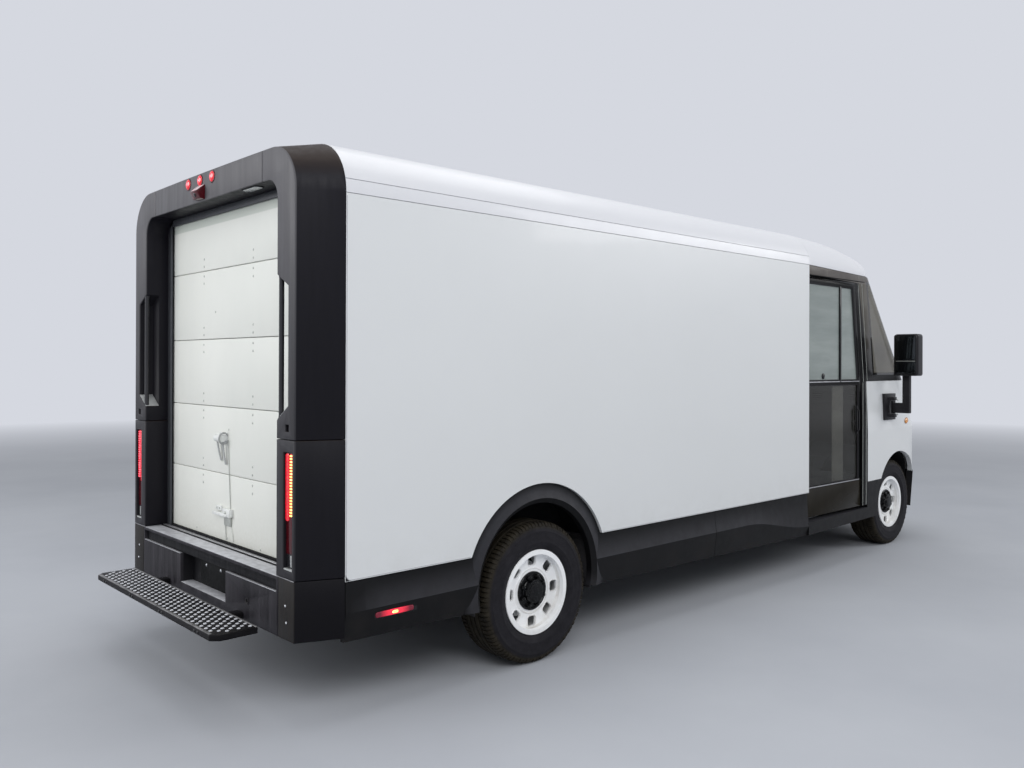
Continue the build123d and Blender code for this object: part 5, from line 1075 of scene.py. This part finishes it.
def door_opening_lines():
    """Pale beads standing for painted highlights on the pillar edges ahead of each door, and the
    dark line of painted shadow under the header.
    """
    beads, shadow = Form(), Form()
    for sign in (1, -1):
        # painted highlights: pale lines along the edges of the pillar
        for foot, head, radius, lean in (((1.945, 0.45), (1.945, 1.494), 0.0022, 0),
                                         ((2.012, 0.45), (2.012, 1.5), 0.0022, 0),
                                         ((1.957, 1.498), (1.86, 2.33), 0.0018, 0.004),
                                         ((2.03, 1.51), (1.935, 2.335), 0.0018, 0.004)):
            y = 1.0608 - 0.0405 * (foot[0] - 0.967)
            line = [(foot[0], sign * y, foot[1]), (head[0], sign * (y - lean), head[1])]
            beads.tube(line, radius, 6)
        # painted shadow: a dark strip under the header
        shadow.box((0.972, 1.9), side_y(sign, 1.04, 1.0565), (2.3415, 2.3465), 0.001)
    beads.piece("door_opening_highlights", RIVET, "gloss_black")
    shadow.piece("header_shadow_lines", DARK, "gloss_black")


for side in SIDES:
    soften(f"cab_side_{side}", 0.002, CAB_SIDE, tidy=0.1)
    soften(f"side_door_{side}", 0.003, SIDE_DOOR)
for side, sign in SIDES.items():
    door_fittings(side, sign)
door_opening_lines()


# ---- wheels
TYRE_OUT = 0.3872
TREAD_FLOOR = 0.377
BLOCKS = 92                 # shoulder blocks on each side of a tyre
NUTS, WINDOWS = 8, 8
NUT_RADIUS, WINDOW_RADIUS = 0.0815, 0.168   # from the axle to their middles


def polar(radius, angle, along):
    """Point round a wheel's axle."""
    return Vector((radius * math.cos(angle), along, radius * math.sin(angle)))


def tyre_mesh():
    """Carcass with ribbed walls, three tread ribs and notched shoulder blocks."""
    form = Form()
    wall = [(0.0975, 0.2175), (0.1015, 0.229), (0.106, 0.2345), (0.106, 0.2385), (0.112, 0.246),
            (0.118, 0.258), (0.1215, 0.272), (0.1222, 0.2735), (0.1222, 0.2765), (0.1218, 0.278),
            (0.1236, 0.296), (0.1238, 0.312), (0.1226, 0.33), (0.123, 0.3312), (0.123, 0.335),
            (0.1218, 0.3365), (0.1195, 0.347), (0.1165, 0.356), (0.112, 0.365), (0.106, 0.3722),
            (0.098, 0.3758), (0.088, TREAD_FLOOR)]
    form.lathe(wall + [(-y, r) for y, r in reversed(wall)], "y", 96, closed=True)
    for low, high in ((-0.052, -0.022), (-0.015, 0.015), (0.022, 0.052)):
        rib = [(low, 0.374), (low + 0.001, TYRE_OUT - 0.0012), (low + 0.003, TYRE_OUT),
               (high - 0.003, TYRE_OUT), (high - 0.001, TYRE_OUT - 0.0012), (high, 0.374)]
        form.lathe(rib, "y", 96, closed=True)
    pitch = 2 * math.pi / BLOCKS
    for side in (1, -1):
        for k in range(BLOCKS):
            turn = Matrix.Rotation(pitch * (k + 0.25 * (side > 0)), 4, "Y")
            half, reach = (0.0098, 0.1172) if k % 2 else (0.0088, 0.115)
            outline = [(0.06, 0.373), (0.06, TYRE_OUT - 0.001), (0.096, TYRE_OUT - 0.0022),
                       (reach - 0.006, 0.3765), (reach, 0.364), (reach - 0.001, 0.356),
                       (0.1, 0.356)]
            outline = [(side * y, r) for y, r in outline]
            form.prism(outline, -half, half, "x", 0.0012, 1, matrix=turn)
    return form.mesh("tyre")


def hub_mesh():
    """Black hub cover: a plate, eight nuts, a collar and a cap."""
    plate = [(0.066, 0), (0.0662, 0.1065), (0.072, 0.1065), (0.0745, 0.1035), (0.0745, 0.094),
             (0.0715, 0.091), (0.0715, 0.07), (0.075, 0.0665), (0.095, 0.064), (0.1005, 0.061),
             (0.101, 0.052), (0.106, 0.05), (0.1075, 0.044), (0.108, 0)]
    form = Form().lathe(plate, "y", 56)
    for k in range(NUTS):
        angle = 2 * math.pi * (k + 0.5) / NUTS
        centre = polar(NUT_RADIUS, angle, 0.0705)
        form.bolt(centre, (0, 1, 0), 0.0135, 0.02, angle)
        form.dome(centre + Vector((0, 0.019, 0)), (0, 1, 0), 0.0075, 0.006)
    for angle in ring_angles(6):
        form.bolt(polar(0.044, angle, 0.1055), (0, 1, 0), 0.005, 0.0035, angle)
    return form.mesh("hub_cover")


def wheel_trim_mesh():
    """Raised ring and window lips on the wheel's disc."""
    rings = (
        [(0.062, 0.199), (0.068, 0.199), (0.07, 0.201), (0.086, 0.2038), (0.086, 0.2045),
         (0.062, 0.2045)],
        [(0.064, 0.118), (0.0672, 0.1195), (0.0684, 0.122), (0.0684, 0.1245), (0.067, 0.1275),
         (0.064, 0.129)],
    )
    form = Form()
    for ring in rings:
        form.lathe(ring, "y", 72, closed=True)
    window = round_outline((0, 0), (0.059, 0.063), 0.0165)
    lip = [Vector((WINDOW_RADIUS + a, 0.066, b)) for a, b in window]
    for angle in ring_angles(WINDOWS):
        turn = Matrix.Rotation(-angle, 4, "Y")
        form.tube([turn @ point for point in lip], 0.0026, 6, closed=True)
    return form.mesh("wheel_trim")


TYRE_MESH, HUB_MESH, TRIM_MESH = tyre_mesh(), hub_mesh(), wheel_trim_mesh()
for end, side in WHEELS:
    name = f"{end}_{side}"
    body = f"{end}_wheel_{side}"
    spot = Matrix.Translation(Vector(joints[f"{name}_spin"]["pos_m"]))
    if side == "right":
        spot = spot @ Matrix.Rotation(math.pi, 4, "Z")
    settle(f"{end}_tyre_{side}_treaded", TYRE_MESH, TYRE_FINISH, body, 28,
           (f"{end}_tyre_{side}",), spot)
    settle(f"{end}_hub_cover_{side}", HUB_MESH, HUB_FINISH, body, 30, place=spot)
    settle(f"{end}_wheel_trim_{side}", TRIM_MESH, WHEEL, body, 40, place=spot)
    soften(body, 0.0015, WHEEL, 1, tidy=0.1)

# calipers seen through the windows of the wheels
for end, side in WHEELS:
    sign = SIDES[side]
    turn = Matrix.Translation(Vector(joints[f"{end}_{side}_spin"]["pos_m"]))
    turn = turn @ Matrix.Rotation(math.radians(8), 4, "Y")
    form = Form().box((0.112, 0.192), side_y(sign, -0.026, 0.036), (-0.095, 0.095), 0.008, 3,
                      matrix=turn)
    for z in (-0.045, 0.045):
        form.dome(turn @ Vector((0.15, sign * 0.036, z)), (0, sign, 0), 0.024, 0.004, 24)
    body = f"knuckle_{side}" if end == "front" else "body"
    form.piece(f"{end}_caliper_{side}", ALUMINIUM, "frame_steel", body)


# ---- cab
BVH = {}


def touch(node, start, aim=BACK, lift=0):
    """Point and outward normal where a ray meets a CAD node, lifted off its surface."""
    if node not in BVH:
        data = cad_nodes[node].data
        BVH[node] = BVHTree.FromPolygons([vertex.co for vertex in data.vertices],
                                         [polygon.vertices for polygon in data.polygons])
    point, normal, _, _ = BVH[node].ray_cast(Vector(start), Vector(aim))
    if normal.dot(Vector(aim)) > 0:
        normal = -normal
    return point + lift * normal, normal


def draped(node, places, lift, ahead=5):
    """Points where rays from ahead of the van meet a CAD node; each place is its y and z."""
    return [touch(node, (ahead, y, z), lift=lift)[0] for y, z in places]


def mirror(side, sign):
    body = f"mirror_{side}"
    soften(body, 0.004, MIRROR_SHELL)
    middle = sign * 1.1755
    bezel = Form().pill((middle, 1.736), (0.194, 0.352), 0.03, 8, (2.4215, 2.43), 0.003)
    bezel.piece(f"mirror_bezel_{side}", HUB, "gloss_black", body)
    panes = Form().pill((middle, 1.793), (0.172, 0.214), 0.022, 8, (2.419, 2.424), 0.0015)
    panes.pill((middle, 1.622), (0.172, 0.098), 0.022, 8, (2.418, 2.424), 0.003, 3)
    panes.piece(f"mirror_panes_{side}", MIRROR_GLASS, "gloss_black", body)
    details = Form().box((2.4198, 2.423), (middle - 0.084, middle + 0.084), (1.6765, 1.6815),
                         0.0008)
    for z in (1.205, 1.335):
        details.bolt((2.488, sign * 1.0785, z), (0, sign, 0), 0.008, 0.004)
    details.piece(f"mirror_details_{side}", RIVET, "gloss_black", body)


def fender_lamps():
    """Amber oval on each fender, in a dark seat."""
    lenses, seats = Form(), Form()
    seat = [(-0.01, 0), (-0.01, 0.044), (0.002, 0.044), (0.0034, 0.041), (0.0034, 0)]
    lens = [(0, 0), (0, 0.037), (0.006, 0.0355), (0.0095, 0.028), (0.0108, 0.014), (0.011, 0)]
    for sign in (1, -1):
        spot = turned_to(*touch("front_fenders", (2.9, sign * 1.3, 1.13), (0, -sign, 0)))
        spot = spot @ Matrix.Diagonal((0.62, 1, 1, 1))
        seats.lathe(seat, "y", 40, matrix=spot)
        lenses.lathe(lens, "y", 40, matrix=spot)
    seats.piece("fender_lamp_seats", AMBER_DARK, "clear_lens")
    lenses.piece("fender_lamp_lenses", AMBER, "clear_lens")


def front_lamps():
    """Bright strip and dark lower bar over each headlamp."""
    strips, bars = Form(), Form()
    for sign in (1, -1):
        for form, z, radius in ((strips, 0.985, 0.0055), (bars, 0.955, 0.004),
                                (bars, 0.941, 0.004)):
            places = [(sign * (0.508 + 0.203 * k / 8), z) for k in range(9)]
            form.tube(draped("headlamps", places, 0.001, 4), radius, 8)
    strips.piece("headlamp_strips", HEADLIGHT, "clear_lens")
    bars.piece("headlamp_bars", BLIND, "gloss_black")


def nose_lines():
    """Cowl, bonnet seam and lower intake of the nose."""
    cowl, seam = Form(), Form()
    places = [(0.86 * math.sin(math.pi / 2 * k / 16), 1.52) for k in range(-16, 17)]
    cowl.tube(draped("cab_glass", places, 0.002), 0.012, 8)
    for z in (1.44, 1.085):
        seam.tube(draped("nose_panel", [(0.727 * k / 14, z) for k in range(-14, 15)], 0), 0.0022, 6)
    for z in (0.52, 0.486, 0.452, 0.418):
        bar = draped("front_bumper", [(0.5 * k / 12, z) for k in range(-12, 13)], 0.001)
        cowl.tube(bar, 0.007, 8)
    cowl.piece("cowl_and_intake_bars", BLIND, "black_plastic")
    seam.piece("nose_seams", HUB, "black_plastic")


def wipers():
    """Two parked wipers that follow the windscreen."""
    arms, blades = Form(), Form()
    for foot, tip in ((0.52, -0.06), (-0.13, -0.7)):
        reach = tip - foot
        blade = [(foot + 0.04 + reach * k / 14, 1.59 + 0.03 * k / 14) for k in range(15)]
        blades.tube(draped("cab_glass", blade, 0.009), 0.0055, 8)
        pivot, normal = touch("cab_glass", (5, foot, 1.526), lift=0.012)
        arm = [(foot + reach * share, 1.53 + 0.075 * share / 0.55) for share in (0.15, 0.35, 0.55)]
        arm = [pivot, *draped("cab_glass", arm, 0.022)]
        arms.tube(arm, 0.0075, 8)
        arms.dome(pivot - 0.008 * normal, normal, 0.018, 0.02, 20)
        arms.dome(arm[-1] - Vector((0.012, 0, 0)), FRONT, 0.009, 0.016, 16)
    arms.piece("wiper_arms", BLIND, "black_plastic")
    blades.piece("wiper_blades", RUBBER, "tyre_rubber")


for side, sign in SIDES.items():
    mirror(side, sign)
soften("mirror_mounts", 0.003, MIRROR_SHELL)
fender_lamps()
front_lamps()
nose_lines()
wipers()


# ---- cab interior
def interior():
    soften("dashboard", 0.012, TRIM, 3)
    screens, vents, pedals = Form(), Form(), Form()
    for y in ((0.3, 0.6), (-0.19, 0.11)):
        face = touch("dashboard", (1.5, sum(y) / 2, 1.33), FRONT)[0].x
        screens.box((face - 0.014, face + 0.006), y, (1.285, 1.415), 0.006, 3)
    for y in (-0.78, -0.42, 0.18, 0.7):
        face = touch("dashboard", (1.5, y + 0.05, 1.335), FRONT)[0].x
        for z in (1.31, 1.33, 1.35, 1.37):
            vents.box((face - 0.007, face + 0.006), (y, y + 0.09), (z, z + 0.009), 0.002)
    for y in (0.385, 0.475):
        pedals.box((2.33, 2.344), (y, y + 0.065), (0.74, 0.83), 0.005)
        arm = ((2.342, 0.8), (2.372, 0.93), (2.42, 1))
        pedals.tube([(x, y + 0.032, z) for x, z in arm], 0.009, 8)
    screens.piece("dash_screens", MIRROR_GLASS, "gloss_black")
    vents.piece("dash_vents", BLIND, "black_plastic")
    pedals.piece("pedals", STEEL, "frame_steel")
    grip = ((0.893, 1.25), (0.868, 1.262), (0.868, 1.438), (0.893, 1.45))
    pull = Form().tube([(x, -0.075, z) for x, z in grip], 0.008)
    pull.piece("bulkhead_door_pull", SATIN, "bar_metal", "bulkhead_door")


interior()


# ---- driver's seat
CLOTH_STEPS = 20
VOXEL = 0.006


def inflate(piece, held, cap):
    """Swells a pad with cloth pressure, held along its seams, and limits how far a point moves."""
    start = [vertex.co.copy() for vertex in piece.data.vertices]
    group = piece.vertex_groups.new(name="held")
    group.add([i for i, point in enumerate(start) if held(point)], 1, "REPLACE")
    cloth = piece.modifiers.new("cloth", "CLOTH")
    values = {"quality": 5, "mass": 0.3, "tension_stiffness": 12, "compression_stiffness": 12,
              "bending_stiffness": 0.6, "use_pressure": True, "uniform_pressure_force": 4,
              "vertex_group_mass": "held"}
    for name, value in values.items():
        setattr(cloth.settings, name, value)
    cloth.settings.effector_weights.gravity = 0
    for number in range(1, CLOTH_STEPS + 1):
        bpy.context.scene.frame_set(number)
    graph = bpy.context.evaluated_depsgraph_get()
    swollen = [vertex.co.copy() for vertex in piece.evaluated_get(graph).data.vertices]
    piece.modifiers.remove(cloth)
    piece.vertex_groups.clear()
    bpy.context.scene.frame_set(1)
    for vertex, before, after in zip(piece.data.vertices, start, swollen):
        move = after - before
        if move.length > cap:
            move *= cap / move.length
        vertex.co = before + move


def apply_modifier(piece, kind, **settings):
    """Replaces the piece's mesh by what one modifier makes of it."""
    modifier = piece.modifiers.new(kind.lower(), kind)
    for name, value in settings.items():
        setattr(modifier, name, value)
    graph = bpy.context.evaluated_depsgraph_get()
    made = bpy.data.meshes.new_from_object(piece.evaluated_get(graph))
    piece.modifiers.remove(modifier)
    piece.data = made


def pad(name, outline, y, bevel, held, cap):
    """Padded piece drawn as an X and Z outline across a range of Y."""
    form = Form().prism(outline, *y, "y", bevel, 4)
    piece = settle(name, form.mesh(name), SEAT_CLOTH, "body", 60)
    apply_modifier(piece, "REMESH", mode="VOXEL", voxel_size=VOXEL)
    inflate(piece, held, cap)
    apply_modifier(piece, "SUBSURF", levels=1, render_levels=1)
    piece.data.materials.clear()
    piece.data.materials.append(SEAT_CLOTH)
    piece.data.shade_smooth()


SEAM_REACH = 0.0045


def near(value, places):
    return any(abs(value - place) < SEAM_REACH for place in places)


def beside(point, half):
    """On one of the two seams that run along the seat."""
    return near(point.y, (SEAT_MIDDLE - half, SEAT_MIDDLE + half))


def cushion_held(point):
    """The cushion is held underneath and along its sewn channels."""
    crossing = near(point.x, (1.435, 1.525, 1.615, 1.705)) and abs(point.y - SEAT_MIDDLE) < 0.15
    lengthways = beside(point, 0.152) and 1.35 < point.x < 1.8
    return point.z < 0.994 or (point.z > 1.05 and (crossing or lengthways))


def backrest_held(point):
    """The backrest is held on its rear face and along its sewn channels."""
    lean = (point.x - (SEAT_X - 0.19)) + 0.183 * (point.z - 1.06)
    crossing = near(point.z, (1.2, 1.3, 1.4, 1.5)) and abs(point.y - SEAT_MIDDLE) < 0.14
    lengthways = beside(point, 0.142) and 1.12 < point.z < 1.64
    return lean < -0.075 or (lean > -0.04 and (crossing or lengthways))


def headrest_held(point):
    return point.x < 1.172 or abs(point.z - 1.705) < 0.004


def driver_seat():
    base = Form().box((1.402, 1.774), (0.264, 0.636), (0.6725, 0.93), 0.01, 3)
    base.box((1.345, 1.815), (0.23, 0.67), (0.93, 0.984), 0.012, 3)
    for y in (0.3, 0.586):
        base.box((1.35, 1.806), (y, y + 0.014), (0.6725, 0.69), 0.003)
    base.piece("seat_pedestal", BLIND, "black_plastic", replaces=("driver_seat",))
    posts = Form()
    for y in (SEAT_MIDDLE - 0.045, SEAT_MIDDLE + 0.045):
        posts.tube([(1.216, y, 1.6), (1.216, y, 1.72)], 0.0065, 12)
    posts.piece("headrest_posts", SATIN, "bar_metal")
    lever = Form().tube([(1.64, 0.25, 0.955), (1.64, 0.212, 0.955), (1.72, 0.208, 0.965)], 0.007)
    lever.dome((1.3, 0.208, 1.03), (0, -1, 0), 0.03, 0.01, 24)
    lever.piece("seat_lever", HUB, "black_plastic")
    cushion = [(1.33, 0.986), (1.826, 0.986), (1.826, 1.06), (1.8, 1.088), (1.33, 1.088)]
    pad("seat_cushion", cushion, (0.212, 0.688), 0.022, cushion_held, 0.012)
    back = [(1.38, 1.092), (1.284, 1.092), (1.19, 1.648), (1.262, 1.664), (1.288, 1.64)]
    pad("seat_backrest", back, (0.216, 0.684), 0.02, backrest_held, 0.012)
    head = [(1.252, 1.702), (1.172, 1.702), (1.168, 1.868), (1.238, 1.868), (1.252, 1.85)]
    pad("seat_headrest", head, (0.362, 0.538), 0.02, headrest_held, 0.008)


driver_seat()


# ---- stage, light and camera
BACKDROP = srgb((213, 216, 224))
AMBIENT = (0.93, 0.96, 1)


def studio_floor():
    """Pale floor that turns into the backdrop far from the van."""
    look = Surface("studio_floor")
    cloud = look.noise(0.4, 5, 0.6)
    far = look.rise(look.vector("DOT_PRODUCT", look.place, look.place), 60, 480)
    pale = look.blend(look.spread(cloud), (176, 179, 186), (186, 189, 195))
    glow = {"Emission Color": look.mix(far, NO_LIGHT, BACKDROP), "Emission Strength": 1, SHINE: 0}
    look.finish(look.mix(far, pale, NO_LIGHT), look.spread(cloud, 0.5, 0.62), more=glow)
    form = Form()
    bmesh.ops.create_grid(form.bm, x_segments=1, y_segments=1, size=60)
    mesh = form.mesh("studio_floor")
    mesh.materials.append(look.material)
    floor = bpy.data.objects.new("studio_floor", mesh)
    bpy.context.scene.collection.objects.link(floor)


def studio_world():
    """Soft light on the van; straight, reflected and refracted rays see the plain backdrop."""
    world = bpy.data.worlds.new("studio")
    bpy.context.scene.world = world
    world.use_nodes = True
    nodes = Nodes(world.node_tree)
    rays = nodes.tree.nodes.new("ShaderNodeLightPath").outputs
    seen = nodes.maths("MAXIMUM", rays["Is Camera Ray"], rays["Is Transmission Ray"])
    seen = nodes.maths("MAXIMUM", seen, rays["Is Glossy Ray"])
    ambient, backdrop = (
        nodes.node("Background", "Background", {"Color": (*colour, 1), "Strength": strength})
        for colour, strength in ((AMBIENT, 0.42), (BACKDROP, 1))
    )
    light = nodes.node("MixShader", "Shader", {"Fac": seen, 1: ambient, 2: backdrop})
    nodes.feed(nodes.tree.nodes["World Output"].inputs["Surface"], light)


def soft_light(name, place, target, size, power):
    lamp = bpy.data.lights.new(name, "AREA")
    lamp.shape = "RECTANGLE"
    lamp.size, lamp.size_y = size
    lamp.energy = power
    holder = bpy.data.objects.new(name, lamp)
    holder.location = place
    holder.rotation_euler = (Vector(target) - Vector(place)).to_track_quat("-Z", "Y").to_euler()
    bpy.context.scene.collection.objects.link(holder)


studio_floor()
studio_world()
soft_light("key_light", (-7, -9, 8), (0, 0, 1), (8, 5), 560)
soft_light("rear_light", (-12, 5, 5), (-3, 0, 1.4), (8, 5), 650)
soft_light("front_light", (9, -8, 6), (2, 0, 1), (6, 4), 360)
soft_light("top_light", (0, 0, 9), (0, 0, 0), (10, 6), 240)

YAW, PITCH, ROLL = math.radians(47.334), math.radians(-0.152), math.radians(0.171)
EYE = (-5.307, -4.476, 1.642)
forward = Vector((math.cos(YAW) * math.cos(PITCH), math.sin(YAW) * math.cos(PITCH),
                  -math.sin(PITCH)))
level = Vector((math.sin(YAW), -math.cos(YAW), 0))
upright = level.cross(forward)
right = math.cos(ROLL) * level + math.sin(ROLL) * upright
up = -math.sin(ROLL) * level + math.cos(ROLL) * upright
camera_data = bpy.data.cameras.new("camera")
camera_data.lens = 30.76
camera_data.sensor_width = 36
camera_data.shift_y = -0.0216
camera_data.clip_end = 200
camera = bpy.data.objects.new("camera", camera_data)
camera.matrix_world = Matrix.Translation(EYE) @ Matrix((right, up, -forward)).transposed().to_4x4()
bpy.context.scene.collection.objects.link(camera)
bpy.context.scene.camera = camera
bpy.context.scene.view_settings.view_transform = "Standard"
